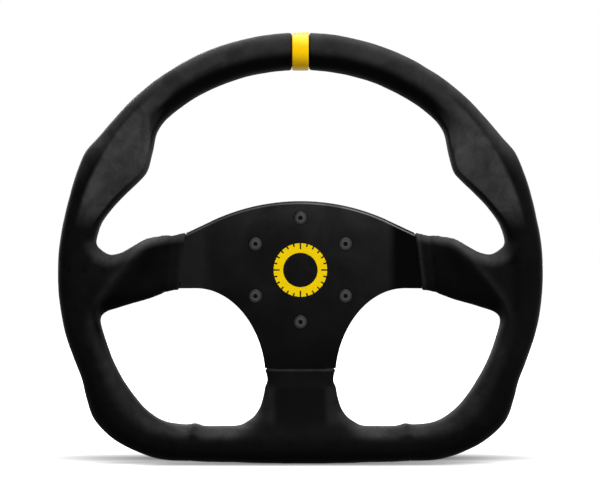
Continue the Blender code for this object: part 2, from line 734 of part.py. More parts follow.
def main():
    clear_scene()
    axis = bpy.data.objects.new("steering_axis", None)
    bpy.context.scene.collection.objects.link(axis)
    suede = make_material("black suede", (0.012, 0.012, 0.013), 0.9, 0.0)
    foam = make_material("moulded foam", (0.03, 0.03, 0.03), 0.95, 0.0)
    yellow = make_material("yellow band", (0.95, 0.58, 0.01), 0.6, 0.0)
    black = make_material("black anodised aluminium", (0.012, 0.012, 0.013), 0.45, 0.3)
    grey = make_material("zinc plated steel", (0.25, 0.25, 0.26), 0.4, 0.9)
    steel = make_material("bright steel", (0.6, 0.6, 0.62), 0.25, 1.0)
    red = make_material("red anodised aluminium", (0.35, 0.01, 0.01), 0.35, 0.6)
    for piece in (make_frame(black), make_core(foam), make_band(yellow), *make_covers(suede)):
        piece.parent = axis
    make_screws(grey, axis)
    make_coupler_body(black, axis)
    make_release_ring(red, axis)
    make_spring(steel, axis)
    make_clip(steel, axis)
    make_balls(steel, axis)


main()
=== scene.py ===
"""Looks of a flat-bottomed racing steering wheel with a quick release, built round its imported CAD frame.

Lengths are in metres. -Y is towards the driver, +Y towards the steering column, and +Z is twelve o'clock.
The origin is the centre of the coupler's rear end face.
"""
from math import asin, atan2, cos, degrees, hypot, pi, radians, sin, sqrt

import bmesh
import bpy
import numpy as np
from mathutils import Matrix, Vector, noise
from mathutils.bvhtree import BVHTree


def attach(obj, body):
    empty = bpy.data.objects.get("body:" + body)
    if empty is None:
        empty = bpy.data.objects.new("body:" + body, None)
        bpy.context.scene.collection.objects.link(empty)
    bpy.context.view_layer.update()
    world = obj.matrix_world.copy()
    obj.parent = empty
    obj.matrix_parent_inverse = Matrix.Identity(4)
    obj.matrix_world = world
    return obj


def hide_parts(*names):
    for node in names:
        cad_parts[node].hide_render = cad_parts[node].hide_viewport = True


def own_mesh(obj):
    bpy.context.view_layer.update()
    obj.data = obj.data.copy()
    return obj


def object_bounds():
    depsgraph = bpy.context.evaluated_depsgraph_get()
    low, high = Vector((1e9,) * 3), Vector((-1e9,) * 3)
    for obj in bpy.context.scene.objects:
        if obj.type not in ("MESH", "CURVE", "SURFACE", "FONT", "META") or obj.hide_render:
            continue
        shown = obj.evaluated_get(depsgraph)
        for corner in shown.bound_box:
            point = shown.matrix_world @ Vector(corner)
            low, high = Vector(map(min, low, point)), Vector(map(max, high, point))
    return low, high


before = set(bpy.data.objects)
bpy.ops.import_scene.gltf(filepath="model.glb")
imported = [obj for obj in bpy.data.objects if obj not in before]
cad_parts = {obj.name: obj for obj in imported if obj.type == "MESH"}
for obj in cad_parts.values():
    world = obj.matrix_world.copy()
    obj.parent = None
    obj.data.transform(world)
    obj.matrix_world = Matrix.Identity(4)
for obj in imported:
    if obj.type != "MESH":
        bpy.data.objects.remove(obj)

cad_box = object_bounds()
MM = 0.001

# ---- Sizes, the same as the CAD part's -----------------------------------------------------------
CLEARANCE = 0.3 * MM
RIM_DEPTH = 30 * MM
RIM_ROUNDNESS = 2.4
RIM_MIDDLE = -62.3 * MM
# Half of the rim from twelve o'clock down to six: polar angle in degrees, inner and outer radius. Along the
# bottom the suede is drawn in up to 1 mm more than the CAD part's.
RIM_OUTLINE = [
    (90, 132.5, 157.0), (66, 133.2, 157.3), (50, 133.6, 157.9), (44, 131.5, 158.2), (39, 125.4, 158.4),
    (33, 120.4, 159.9), (29, 121.6, 161.9), (24, 125.6, 161.2), (18, 131.0, 160.1), (12, 135.6, 159.7),
    (0, 136.6, 160.0), (-15, 136.5, 160.5), (-26, 137.2, 161.0), (-31, 137.4, 164.5), (-36, 137.5, 167.9),
    (-42, 137.1, 166.1), (-48, 134.1, 161.0), (-54, 126.0, 154.2), (-60, 118.8, 145.1), (-66, 112.4, 138.3),
    (-72, 107.8, 133.2), (-81, 103.8, 128.8), (-90, 102.5, 127.4),
]
# Distance from the axis, lower edge, upper edge and half thickness of a side sleeve, a little fuller than
# the CAD part's where smoothing draws the suede in.
SIDE_SLEEVE = [
    (78.8, -13.2, 25.4, 6.2), (86, -14.3, 23.8, 6.3), (92, -16.5, 23.6, 6.6), (98, -18.8, 22.7, 6.9),
    (105, -21.0, 21.2, 7.4), (113, -23.2, 16.4, 8.4), (119, -25.0, 12.6, 9.4), (125, -27.0, 10.8, 10.6),
    (129, -30.0, 10.8, 11.4), (133, -37.5, 13.0, 12.2), (141, -44.0, 18.0, 12.6),
]
# Height, half width and half thickness of the bottom sleeve.
BOTTOM_SLEEVE = [
    (-66.3, 23.7, 6.2), (-71, 22.6, 6.2), (-75.5, 22.2, 6.2), (-77, 23.7, 6.8), (-80, 24.2, 7.2),
    (-86, 25.4, 8.1), (-92.5, 27.8, 9.4), (-98, 32.4, 10.8), (-101.5, 38.5, 11.8), (-110, 47.0, 12.4),
]
SLEEVE_ROUNDNESS = (3.2, 2.3)
SLEEVE_SHOULDER = 1.75
SLEEVE_LEAN = -0.118
SLEEVE_OVERRUN = 6 * MM
# How far from the axis a side sleeve, and the bottom one, goes from its squarer section to its rounder one.
SIDE_SLEEVE_ROUNDS = (82 * MM, 112 * MM)
BOTTOM_SLEEVE_ROUNDS = (76 * MM, 100 * MM)
# Where the open edges of the sleeves are: the side ones' middle, and the bottom one.
SIDE_EDGE_X = 78.8 * MM
SIDE_EDGE_Z = 6.2 * MM
BOTTOM_EDGE_Z = -66.3 * MM
# Where the sleeves' ends lie: a side one's |x| and z, and the bottom one's z and greatest |x|.
SIDE_MOUTH_X = (68 * MM, 94 * MM)
SIDE_MOUTH_Z = (-30 * MM, 40 * MM)
BOTTOM_MOUTH_Z = (-82 * MM, -52 * MM)
BOTTOM_MOUTH_X = 40 * MM
COVER_THICKNESS = 1.2 * MM
BAND_HALF_WIDTH = 5.4 * MM
BAND_SEAM_X = BAND_HALF_WIDTH + CLEARANCE
SEAM_X = 72.5 * MM
SEAM_GAP = 0.06 * MM
SEAM_TOP = -55 * MM
CROSS_SEAM_X = 122 * MM
CROSS_SEAM_Z = 4 * MM
RIM_FOOT = -90 * MM

PLATE_THICKNESS = 4 * MM
PLATE_BACK = -38.3 * MM
PLATE_FRONT = PLATE_BACK - PLATE_THICKNESS
PLATE_MIDDLE = (PLATE_BACK + PLATE_FRONT) / 2
PLATE_TOP = 46.4 * MM
PLATE_TOP_RADIUS = 140.5 * MM
PLATE_TOP_ARC_END = 58 * MM
ARM_UPPER_EDGE = 25 * MM
ARM_LOWER_EDGE = -12.2 * MM
CUTOUT_CENTRE = (70.7 * MM, -74.6 * MM)
CUTOUT_HALF_WIDTH = 47.3 * MM
CUTOUT_HALF_HEIGHT = 62.4 * MM
SIDE_BEND = (62 * MM, 115 * MM)
BOTTOM_BEND = (67 * MM, 107 * MM)
BEND_SOFTNESS = 0.07
RISE = RIM_MIDDLE - PLATE_MIDDLE
TOP_EDGE_ROUND = 2.2 * MM
# Where the plate's top edge gets a painted highlight, drawn as bare metal where the coat has rubbed
# through: clear of the screws, above a height, and out to a distance. The painted highlight grows from left
# to right, as the light falls from the right.
HIGHLIGHT_HUB = 41 * MM
HIGHLIGHT_LOW = 18 * MM
HIGHLIGHT_SIDE = 80 * MM
HIGHLIGHT_FADE = (-50 * MM, 70 * MM)
NECK_DROP = 4 * MM
SIDE_NECK_END = (-20 * MM, 7 * MM)
BOTTOM_NECK_HALF_WIDTH = 17 * MM
FRAME_RING_WIDTH = 10 * MM
FRAME_RING_INSET = 12.6 * MM

SCREW_CIRCLE_RADIUS = 35 * MM
SCREW_HEAD_RADIUS = 4.6 * MM
SCREW_SHANK_RADIUS = 2.5 * MM
SCREW_RIM = 0.4 * MM
SCREW_SINK = 0.1 * MM
SCREW_LENGTH = 12 * MM
HEX_CORNER = 3 * MM / sqrt(3)
HEX_DEPTH = 2.4 * MM

COUPLER_FRONT = -38 * MM
FLANGE_BACK = -30 * MM
FLANGE_RADIUS = 42 * MM
BARREL_RADIUS = 18 * MM
BORE_RADIUS = 13 * MM
SPLINE_GROOVE = 12.5 * MM
SPLINE_TIP = 11.3 * MM
SPLINE_TEETH = 18
SPLINE_START = -16 * MM
BALL_RADIUS = 3 * MM
BALL_CIRCLE = 15 * MM
BALL_PLANE = -10.3 * MM
BALL_LIP = 0.4 * MM
CLIP_FRONT = -3 * MM
CLIP_THICKNESS = 1.5 * MM
GROOVE_RADIUS = 16.6 * MM
RING_REAR = -3.3 * MM
RING_FRONT = -22.3 * MM
RING_OUTER = 26.2 * MM
RING_FLANGE_RADIUS = 34 * MM
RING_FLANGE = (-10.3 * MM, -5.3 * MM)
GRIP_COUNT = 18
GRIP_RADIUS = 2.4 * MM
GRIP_OFFSET = 1.1 * MM
COUNTERBORE = 22.6 * MM
SPRING_SEAT = -13.3 * MM
LAND_RADIUS = 18.3 * MM
BALL_TRAVEL = 1.2 * MM
SPRING_WIRE = 0.9 * MM
SPRING_TURNS = 3.5
SPRING_GAP = 2.3 * MM
BODY_COUNT = 6

# How far a cutter reaches past the surface that it opens.
OVERCUT = 1 * MM
# Radii of the plain ring and tube that a swept shape starts from, before its points are put in place.
START_RING = 150 * MM
START_TUBE = 10 * MM
# Steps round each turned shape.
RIM_STEPS = 300
FRAME_RING_STEPS = 120
BAND_STEPS = 96
TURNED_STEPS = 144
SCREW_STEPS = 64
COUNTERSINK_STEPS = 48
HOLE_STEPS = 32
EYE_STEPS = 24
COIL_STEPS = 48
GRIP_STEPS = 20
# Widths of the rounds on the edges of the metal pieces.
PLATE_EDGE = 0.5 * MM
SCREW_EDGE = 0.14 * MM
COUPLER_EDGE = 0.35 * MM
CLIP_EDGE = 0.15 * MM


# ---- Curves --------------------------------------------------------------------------------------
def smoothed(table, at):
    """The table's other columns where its first column is `at`, on a smooth curve through its rows."""
    rows = sorted(table)
    at = min(max(at, rows[0][0]), rows[-1][0])
    index = max(i for i in range(len(rows) - 1) if rows[i][0] <= at)
    low, high = rows[index], rows[index + 1]
    span = high[0] - low[0]
    share = (at - low[0]) / span

    def slope(i, column):
        if i in (0, len(rows) - 1):
            return 0.0
        return (rows[i + 1][column] - rows[i - 1][column]) / (rows[i + 1][0] - rows[i - 1][0])

    values = []
    for column in range(1, len(low)):
        rise = high[column] - low[column]
        bend = slope(index, column) * span * (1 - share) - slope(index + 1, column) * span * share
        values.append(low[column] + rise * share * share * (3 - 2 * share) + bend * share * (1 - share))
    return values


def soft_step(low, high, at):
    share = np.clip((at - low) / (high - low), 0, 1)
    return share * share * (3 - 2 * share)


def bump(distance, width):
    return np.exp(-((distance / width) ** 2))


def oval(half_width, half_height, turn, roundness):
    """A point on a rounded rectangle: roundness 2 is an ellipse, and more is squarer."""
    def stretch(value):
        return abs(value) ** (2 / roundness) * (1 if value >= 0 else -1)

    return half_width * stretch(cos(turn)), half_height * stretch(sin(turn))


def folded_angle(x, z):
    """Polar angle about the steering axis, with the left half folded onto the right."""
    return np.arctan2(z, np.abs(x))


def rim_radii(angle):
    inner, outer = smoothed(RIM_OUTLINE, degrees(atan2(sin(angle), abs(cos(angle)))))
    return inner * MM, outer * MM


def rim_point(angle, turn, inset=0.0):
    """A point on the rim's section at a polar angle. Turn 0 faces outwards, a quarter turn backwards."""
    inner, outer = rim_radii(angle)
    outwards, back = oval((outer - inner) / 2 - inset, RIM_DEPTH / 2 - inset, turn, RIM_ROUNDNESS)
    radius = (inner + outer) / 2 + outwards
    return Vector((radius * cos(angle), RIM_MIDDLE + back, radius * sin(angle)))


def ramp(at, bend, soft=BEND_SOFTNESS):
    """How far along its slope a bent arm is, with rounded bends."""
    share = (at - bend[0]) / (bend[1] - bend[0])

    def corner(value):
        return np.where(value < -soft, 0, np.where(value > soft, value, (value + soft) ** 2 / (4 * soft)))

    return corner(share) - corner(share - 1)


def arm_middle(at, bend):
    """Where the middle of a bent arm's thickness lies, at a distance from the axis."""
    return PLATE_MIDDLE + RISE * float(ramp(at, bend))


def line_distance(x, z, line):
    """Distance in the wheel's plane to a line of points, and the share of the way along it."""
    best = np.full(x.shape, 1e9)
    along = np.zeros(x.shape)
    lengths = [hypot(b[0] - a[0], b[1] - a[1]) for a, b in zip(line, line[1:])]
    gone = 0.0
    for (ax, az), (bx, bz), length in zip(line, line[1:], lengths):
        t = np.clip(((x - ax) * (bx - ax) + (z - az) * (bz - az)) / length**2, 0, 1)
        distance = np.hypot(x - ax - t * (bx - ax), z - az - t * (bz - az))
        nearer = distance < best
        best = np.where(nearer, distance, best)
        along = np.where(nearer, (gone + t * length) / sum(lengths), along)
        gone += length
    return best, along


def in_mm(points):
    return [(x * MM, z * MM) for x, z in points]


# ---- Making pieces -------------------------------------------------------------------------------
MERGE_DISTANCE = 1e-7
CREASE = radians(40)


def new_object(name, data):
    obj = bpy.data.objects.new(name, data)
    bpy.context.scene.collection.objects.link(obj)
    return obj


def bmesh_from(mesh):
    bm = bmesh.new()
    bm.from_mesh(mesh)
    return bm


def write_back(bm, mesh):
    bm.to_mesh(mesh)
    bm.free()


def new_piece(name, bm, material, sharp=None, normals=True):
    """Makes an object of the bmesh. Edges over the angle `sharp` stay sharp."""
    bmesh.ops.remove_doubles(bm, verts=bm.verts, dist=MERGE_DISTANCE)
    if normals:
        bmesh.ops.recalc_face_normals(bm, faces=bm.faces)
    mesh = bpy.data.meshes.new(name)
    write_back(bm, mesh)
    mesh.shade_smooth()
    if sharp is not None:
        mesh.set_sharp_from_angle(angle=sharp)
    if material:
        mesh.materials.append(material)
    return new_object(name, mesh)


def write_values(obj, name, values):
    """Stores a number for each point of the piece, for its finish to read."""
    obj.data.attributes.new(name, "FLOAT", "POINT").data.foreach_set("value", values)


def evaluated_mesh(obj):
    bpy.context.view_layer.update()
    return bpy.data.meshes.new_from_object(obj.evaluated_get(bpy.context.evaluated_depsgraph_get()))


def modified(obj, kind, **settings):
    """Puts the result of one modifier into the object's mesh."""
    modifier = obj.modifiers.new(kind.lower(), kind)
    for name, value in settings.items():
        setattr(modifier, name, value)
    material = obj.data.materials[0] if obj.data.materials else None
    mesh = evaluated_mesh(obj)
    obj.modifiers.clear()
    obj.data = mesh
    if material and not mesh.materials:
        mesh.materials.append(material)
    return obj


def combine(target, others, operation):
    operands = bpy.data.collections.new("operands")
    for other in others:
        operands.objects.link(other)
    modified(
        target, "BOOLEAN", operand_type="COLLECTION", collection=operands, operation=operation,
        solver="EXACT",
    )
    for other in others:
        bpy.data.objects.remove(other)
    bpy.data.collections.remove(operands)


def rounded_edges(obj, width, segments=2, angle=40):
    """Rounds the piece's edges that turn by more than the angle."""
    modified(
        obj, "BEVEL", width=width, segments=segments, limit_method="ANGLE", angle_limit=radians(angle),
        harden_normals=False, use_clamp_overlap=True,
    )
    obj.data.shade_smooth()
    obj.data.set_sharp_from_angle(angle=CREASE)
    true_planes(obj)


def true_planes(obj):
    """Keeps flat faces flat to the light, and lets only the rounded edges between them turn."""
    return modified(obj, "WEIGHTED_NORMAL", keep_sharp=True, weight=80)


def spun(profile, steps, along_x=False, closed=True):
    """Turns a profile round Y, or round X. Its points are (distance from the axis, place along it)."""
    bm = bmesh.new()
    places = [(y, 0, r) if along_x else (r, y, 0) for r, y in profile]
    points = [bm.verts.new(place) for place in places]
    edges = [bm.edges.new(pair) for pair in zip(points, points[1:] + points[:1] if closed else points[1:])]
    axis = (1, 0, 0) if along_x else (0, 1, 0)
    bmesh.ops.spin(
        bm, geom=points + edges, cent=(0, 0, 0), axis=axis, angle=2 * pi, steps=steps, use_merge=True
    )
    bmesh.ops.remove_doubles(bm, verts=bm.verts, dist=MERGE_DISTANCE)
    return bm


def reshaped(bm, place):
    for vertex in bm.verts:
        vertex.co = place(vertex.co)
    return bm


def shifted(bm, distance):
    bmesh.ops.translate(bm, vec=distance, verts=bm.verts)
    return bm


def turned(bm, angle, axis):
    bmesh.ops.rotate(bm, verts=bm.verts, cent=(0, 0, 0), matrix=Matrix.Rotation(angle, 3, axis))
    return bm


def extruded(outline, depth):
    """A flat outline of points, drawn out backwards into a solid."""
    bm = bmesh.new()
    face = bm.faces.new([bm.verts.new(point) for point in outline])
    made = bmesh.ops.extrude_face_region(bm, geom=[face])
    moved = [part for part in made["geom"] if isinstance(part, bmesh.types.BMVert)]
    bmesh.ops.translate(bm, vec=(0, depth, 0), verts=moved)
    return bm


def swept_round(section, steps, place):
    """A closed ring of a section (u outwards, v backwards), each point where place(angle, u, v) says."""
    bm = spun([(START_RING + u, v) for u, v in section], steps)
    return reshaped(bm, lambda p: place(atan2(p.z, p.x), hypot(p.x, p.z) - START_RING, p.y))


def tube_through(rings):
    """A closed skin over rings of points."""
    bm = bmesh.new()
    loops = []
    for ring in rings:
        verts = [bm.verts.new(point) for point in ring]
        loops.append([bm.edges.new(pair) for pair in zip(verts, verts[1:] + verts[:1])])
    for first, second in zip(loops, loops[1:]):
        bmesh.ops.bridge_loops(bm, edges=first + second)
    for loop in (loops[0], loops[-1]):
        bmesh.ops.contextual_create(bm, geom=loop)
    return bm


def cut_plane(bm, place, normal, chosen, clear=False):
    """Cuts the chosen faces along a plane, and can clear what lies on the normal's side of it."""
    faces = [f for f in bm.faces if chosen(f.calc_center_median())]
    edges = dict.fromkeys(e for f in faces for e in f.edges)
    verts = dict.fromkeys(v for f in faces for v in f.verts)
    bmesh.ops.bisect_plane(
        bm, geom=[*verts, *edges, *faces], dist=MERGE_DISTANCE, plane_co=place, plane_no=normal,
        clear_outer=clear,
    )


# ---- Suede skin ----------------------------------------------------------------------------------
SKIN_GRAIN = 1.1 * MM
FOAM_GRAIN = 2.4 * MM
FOAM_INSET = 2 * MM
SECTION_SIDES = 48
STATION_STEP = 2.0
JOIN_REACH = 9 * MM
HEM_WIDTH = 9 * MM
# A thumb rest: its ridge's distance from the axis, its depth under the rim's front, and the degrees round
# the rim over which its two ends fade.
THUMB_RIDGE = 151 * MM
REST_DEPTH = 14.2 * MM
REST_LOWER_END = (10, 18)
REST_UPPER_END = (40, 52)
# Lines on the right half, as (x, z): the crest where a side sleeve meets the rim, the painted highlight on
# the shoulder above it, the inner ridge of a thumb rest, and the painted bright flare where the bottom
# sleeve meets the rim.
CREST = in_mm([
    (106, 16), (111, 9), (116, 2), (121.5, -4.5), (127, -11.5), (133.4, -20.3), (136.2, -30), (137, -42),
])
SHOULDER_HIGHLIGHT_LINE = in_mm([
    (137, 26), (134.5, 18), (131.5, 12), (126, 10), (119.5, 11.5), (112.5, 15.5), (106, 20), (99.5, 22.5),
    (89.5, 24.2), (76, 25.5),
])
REST_INNER_RIDGE = in_mm([(96, 108), (101, 103), (102, 92), (102, 80), (103, 72)])
FLARE_HIGHLIGHT_LINE = in_mm([(27, -90), (29, -95), (33.5, -100), (40, -102.5), (48, -103)])
# Three small darker spots, given as on the right half and put on the left.
DARKER_SPOTS = in_mm([(151, 0.8), (140.7, 0.3), (129.2, 0.3)])
# Millimetres from a seam or an edge at which the skin gets an edge loop.
BAND_LOOPS = (0, 5.7, 6.1, 6.6, 7.3, 8.2)
SEAM_LOOPS = (SEAM_GAP / MM, 0.4, 0.9, 1.8)
CROSS_SEAM_LOOPS = (0, 0.45, 1.0)
EDGE_LOOPS = (0, 0.35, 0.8, 1.4, 2.1)
STUB_INSET = 1.2
# How far the suede rises or sinks at its details.
CREST_HEIGHT = 1.5 * MM
CREST_HOLLOW = 0.9 * MM
REST_HOLLOW = 0.9 * MM
REST_RIDGE_HEIGHT = 0.7 * MM
PUCKER_HEIGHT = 1.3 * MM
UNEVENNESS = 0.22 * MM
BAND_TUCK = 1.0 * MM
SEAM_TUCK = 0.2 * MM
EDGE_ROLL = 0.9 * MM
EDGE_SWELL = 0.2 * MM
HEM_DENT = 0.35 * MM
# The painted light's level on plain suede, and at its brightest painted highlights.
BASE_PAINTED_LIGHT = 0.065
BRIGHTEST_PAINTED_LIGHT = 1.8


def sleeve_section(centre, across, half_width, half_thickness, share, shoulder=None):
    """A ring of points round a sleeve, squarer at its edge (share 0) than where it meets the rim (share 1).

    A shoulder is the roundness of the upper half, where that slopes off more softly than the lower one.
    """
    roundness = SLEEVE_ROUNDNESS[0] + (SLEEVE_ROUNDNESS[1] - SLEEVE_ROUNDNESS[0]) * share
    ring = []
    for i in range(SECTION_SIDES):
        turn = 2 * pi * (i + 0.5) / SECTION_SIDES
        here = shoulder if shoulder and cos(turn) > 0 else roundness
        width, depth = oval(half_width, half_thickness, turn, here)
        ring.append(centre + across * width + Vector((0, depth, 0)))
    return ring


def sleeve_stations(table):
    """Rows between the table's rows, with one out beyond its edge."""
    start, end = table[0][0], table[-1][0]
    count = round(abs(end - start) / STATION_STEP)
    stops = [start + (end - start) * i / count for i in range(count + 1)]
    rows = [(at, *smoothed(table, at)) for at in stops]
    beyond = start - SLEEVE_OVERRUN / MM * (1 if end > start else -1)
    return [(beyond, *rows[0][1:]), *rows]


def side_sleeve(side):
    rings = []
    for distance, low, high, half_thickness in sleeve_stations(SIDE_SLEEVE):
        x = distance * MM
        middle = Vector((x, arm_middle(x, SIDE_BEND), (low + high) / 2 * MM))
        lean = Vector((SLEEVE_LEAN, 0, 1))
        size = ((high - low) / 2 * MM, half_thickness * MM)
        share = float(soft_step(*SIDE_SLEEVE_ROUNDS, x))
        rings.append(sleeve_section(middle, lean, *size, share, shoulder=SLEEVE_SHOULDER))
    bm = tube_through(rings)
    bmesh.ops.scale(bm, vec=(side, 1, 1), verts=bm.verts)
    return bm


def bottom_sleeve():
    rings = []
    for height, half_width, half_thickness in sleeve_stations(BOTTOM_SLEEVE):
        z = height * MM
        middle = Vector((0, arm_middle(-z, BOTTOM_BEND), z))
        share = float(soft_step(*BOTTOM_SLEEVE_ROUNDS, -z))
        rings.append(sleeve_section(middle, Vector((1, 0, 0)), half_width * MM, half_thickness * MM, share))
    return tube_through(rings)


def rim_skin():
    def place(angle, u, v):
        return rim_point(angle, atan2(v, u))

    angles = [2 * pi * i / SECTION_SIDES for i in range(SECTION_SIDES)]
    section = [(START_TUBE * cos(angle), START_TUBE * sin(angle)) for angle in angles]
    return swept_round(section, RIM_STEPS, place)


def sculpt_arrays(obj):
    mesh = obj.data
    co = np.empty(len(mesh.vertices) * 3)
    no = np.empty(len(mesh.vertices) * 3)
    mesh.vertices.foreach_get("co", co)
    mesh.vertices.foreach_get("normal", no)
    return co.reshape(-1, 3), no.reshape(-1, 3)


def put_back(obj, co):
    obj.data.vertices.foreach_set("co", co.ravel())
    obj.data.update()


def relax(obj, weights, repeats):
    """Smooths the mesh, as much as the weight of each point says."""
    group = obj.vertex_groups.new(name="relax")
    for index in np.nonzero(weights > 0.01)[0]:
        group.add([int(index)], float(weights[index]), "REPLACE")
    modified(obj, "SMOOTH", factor=0.5, iterations=repeats, vertex_group="relax")
    obj.vertex_groups.clear()


def distance_to(tree, co):
    return np.array([tree.find_nearest(Vector(p))[3] for p in co])


def make_skin():
    """The rim and its three sleeves as one smooth skin, before it is cut into covers."""
    rim, sleeves = rim_skin(), [side_sleeve(1), side_sleeve(-1), bottom_sleeve()]
    whole, arms = bmesh.new(), bmesh.new()
    for bm in (rim, *sleeves):
        bmesh.ops.recalc_face_normals(bm, faces=bm.faces)
        mesh = bpy.data.meshes.new("shape")
        bm.to_mesh(mesh)
        whole.from_mesh(mesh)
        if bm is not rim:
            arms.from_mesh(mesh)
        bpy.data.meshes.remove(mesh)
    rim_tree, arm_tree = BVHTree.FromBMesh(rim), BVHTree.FromBMesh(arms)
    for bm in (rim, arms, *sleeves):
        bm.free()
    skin = new_piece("skin", whole, None, normals=False)
    modified(skin, "REMESH", mode="VOXEL", voxel_size=SKIN_GRAIN)
    relax(skin, np.ones(len(skin.data.vertices)), 4)
    co, _ = sculpt_arrays(skin)
    near = 1 - np.clip((distance_to(rim_tree, co) + distance_to(arm_tree, co)) / JOIN_REACH, 0, 1)
    relax(skin, near, 60)
    carve_thumb_rests(skin)
    raise_details(skin)
    return skin


def thumb_window(x, z):
    """How much of a point lies between the two ends of a thumb rest."""
    turn = np.degrees(folded_angle(x, z))
    return soft_step(*REST_LOWER_END, turn) * (1 - soft_step(*REST_UPPER_END, turn))


def carve_thumb_rests(skin):
    """A nearly flat, slightly hollow rest for each thumb, with a ridge along its outer side."""
    co, _ = sculpt_arrays(skin)
    x, y, z = co.T
    inwards = THUMB_RIDGE - np.hypot(x, z)
    hollow = REST_HOLLOW * bump(inwards - 14 * MM, 9 * MM)
    floor = RIM_MIDDLE - REST_DEPTH + 0.17 * inwards + hollow + 0.02 * (z - 60 * MM)
    carve = np.clip(floor - y, 0, None) * thumb_window(x, z) * soft_step(-1.5 * MM, 0.6 * MM, inwards)
    front = y < RIM_MIDDLE
    co[:, 1] = np.where(front, y + carve, y)
    put_back(skin, co)
    relax(skin, thumb_window(x, z) * front * (carve > 0.05 * MM) * 0.7, 2)


def beside_crest(x, z, distance):
    """Distance to the crest, positive on the sleeve's side and negative on the rim's."""
    level = np.interp(z, *zip(*[(crest_z, crest_x) for crest_x, crest_z in reversed(CREST)]))
    return np.where(x < level, distance, -distance)


def raise_details(skin):
    """Crests, creases and the soft unevenness of hand-stretched suede."""
    co, no = sculpt_arrays(skin)
    x, y, z = co.T
    side = np.abs(x)
    front = 1 - soft_step(RIM_MIDDLE - 6 * MM, RIM_MIDDLE, y)
    distance, along = line_distance(side, z, CREST)
    fade = soft_step(0, 0.2, along) * (1 - soft_step(0.7, 1, along)) * front
    beside = beside_crest(side, z, distance)
    lift = CREST_HEIGHT * bump(distance, np.where(beside > 0, 1.9 * MM, 3.4 * MM)) * fade
    lift -= CREST_HOLLOW * bump(beside - 6 * MM, 3.5 * MM) * fade
    distance, along = line_distance(side, z, REST_INNER_RIDGE)
    fade = soft_step(0, 0.25, along) * (1 - soft_step(0.8, 1, along)) * front
    lift += REST_RIDGE_HEIGHT * bump(distance, 1.8 * MM) * fade
    pucker = bump(side - 69.5 * MM, 3.6 * MM) * (z < RIM_FOOT) * soft_step(0.2, 0.8, no[:, 2])
    lift += PUCKER_HEIGHT * pucker
    waves = np.array([noise.noise(Vector(p) * 55) + 0.45 * noise.noise(Vector(p) * 150) for p in co])
    lift += UNEVENNESS * waves
    put_back(skin, co + no * lift[:, None])


def sleeve_edge_distance(x, z):
    """Distance from a side sleeve's edge out towards the rim."""
    return (np.abs(x) - sleeve_edge(z)) / sqrt(1 + SLEEVE_LEAN**2)


def sleeve_edge(z):
    return SIDE_EDGE_X + SLEEVE_LEAN * (z - SIDE_EDGE_Z)


def near_side_edge(x, z):
    beside = (np.abs(x) > 70 * MM) & (np.abs(x) < 100 * MM)
    return beside & (z > SIDE_MOUTH_Z[0]) & (z < SIDE_MOUTH_Z[1])


def near_bottom_edge(x, z):
    return (np.abs(x) < BOTTOM_MOUTH_X) & (z > -90 * MM) & (z < -50 * MM)


def on_side_sleeve(p):
    return SIDE_MOUTH_X[0] < abs(p.x) < SIDE_MOUTH_X[1] and SIDE_MOUTH_Z[0] < p.z < SIDE_MOUTH_Z[1]


def on_bottom_sleeve(p):
    return abs(p.x) < BOTTOM_MOUTH_X and BOTTOM_MOUTH_Z[0] < p.z < BOTTOM_MOUTH_Z[1]


def cut_across_sleeves(bm, depth, clear):
    """Cuts each sleeve straight across, so many millimetres in from its edge."""
    for side in (1, -1):
        normal = Vector((-side, 0, SLEEVE_LEAN)).normalized()
        place = Vector((side * SIDE_EDGE_X, 0, SIDE_EDGE_Z)) - normal * depth * MM
        cut_plane(bm, place, normal, lambda p: on_side_sleeve(p) and p.x * side > 0, clear)
    cut_plane(bm, Vector((0, 0, BOTTOM_EDGE_Z - depth * MM)), Vector((0, 0, 1)), on_bottom_sleeve, clear)


def cut_seams(bm):
    """Edge loops either side of each seam, so that the suede can turn in there."""
    def by_band(p):
        return p.z > 0 and abs(p.x) < 20 * MM

    def by_seam(p):
        return p.z < SEAM_TOP and abs(abs(p.x) - SEAM_X) < 8 * MM

    def by_cross_seam(p):
        return p.x > CROSS_SEAM_X and abs(p.z - CROSS_SEAM_Z) < 6 * MM

    for side in (1, -1):
        for x in BAND_LOOPS:
            cut_plane(bm, (side * x * MM, 0, 0), (1, 0, 0), by_band)
        for x in [SEAM_X + edge * loop * MM for loop in SEAM_LOOPS for edge in (1, -1)]:
            cut_plane(bm, (side * x, 0, 0), (1, 0, 0), by_seam)
    for z in [CROSS_SEAM_Z + edge * loop * MM for loop in CROSS_SEAM_LOOPS for edge in (1, -1)]:
        cut_plane(bm, (0, 0, z), (0, 0, 1), by_cross_seam)


def tuck(co, no):
    """Turns the suede in at its seams and rolls it over at the sleeves' edges."""
    x, _, z = co.T
    side = np.abs(x)
    sink = np.where(z > 0, BAND_TUCK * bump(side - BAND_SEAM_X, 0.7 * MM), 0)
    sink += np.where(z < SEAM_TOP, SEAM_TUCK * bump(side - SEAM_X, 0.5 * MM), 0)
    sink += np.where(x > CROSS_SEAM_X, SEAM_TUCK * bump(z - CROSS_SEAM_Z, 0.6 * MM), 0)
    side_edge = sleeve_edge_distance(x, z)
    for edge, near in ((side_edge, near_side_edge), (BOTTOM_EDGE_Z - z, near_bottom_edge)):
        rolled = EDGE_ROLL * bump(edge, 0.6 * MM) - EDGE_SWELL * bump(edge - 1.4 * MM, 0.9 * MM)
        sink += np.where(near(x, z), rolled, 0)
    sink += np.where(near_side_edge(x, z), HEM_DENT * bump(side_edge - HEM_WIDTH, 1.0 * MM), 0)
    return co - no * sink[:, None]


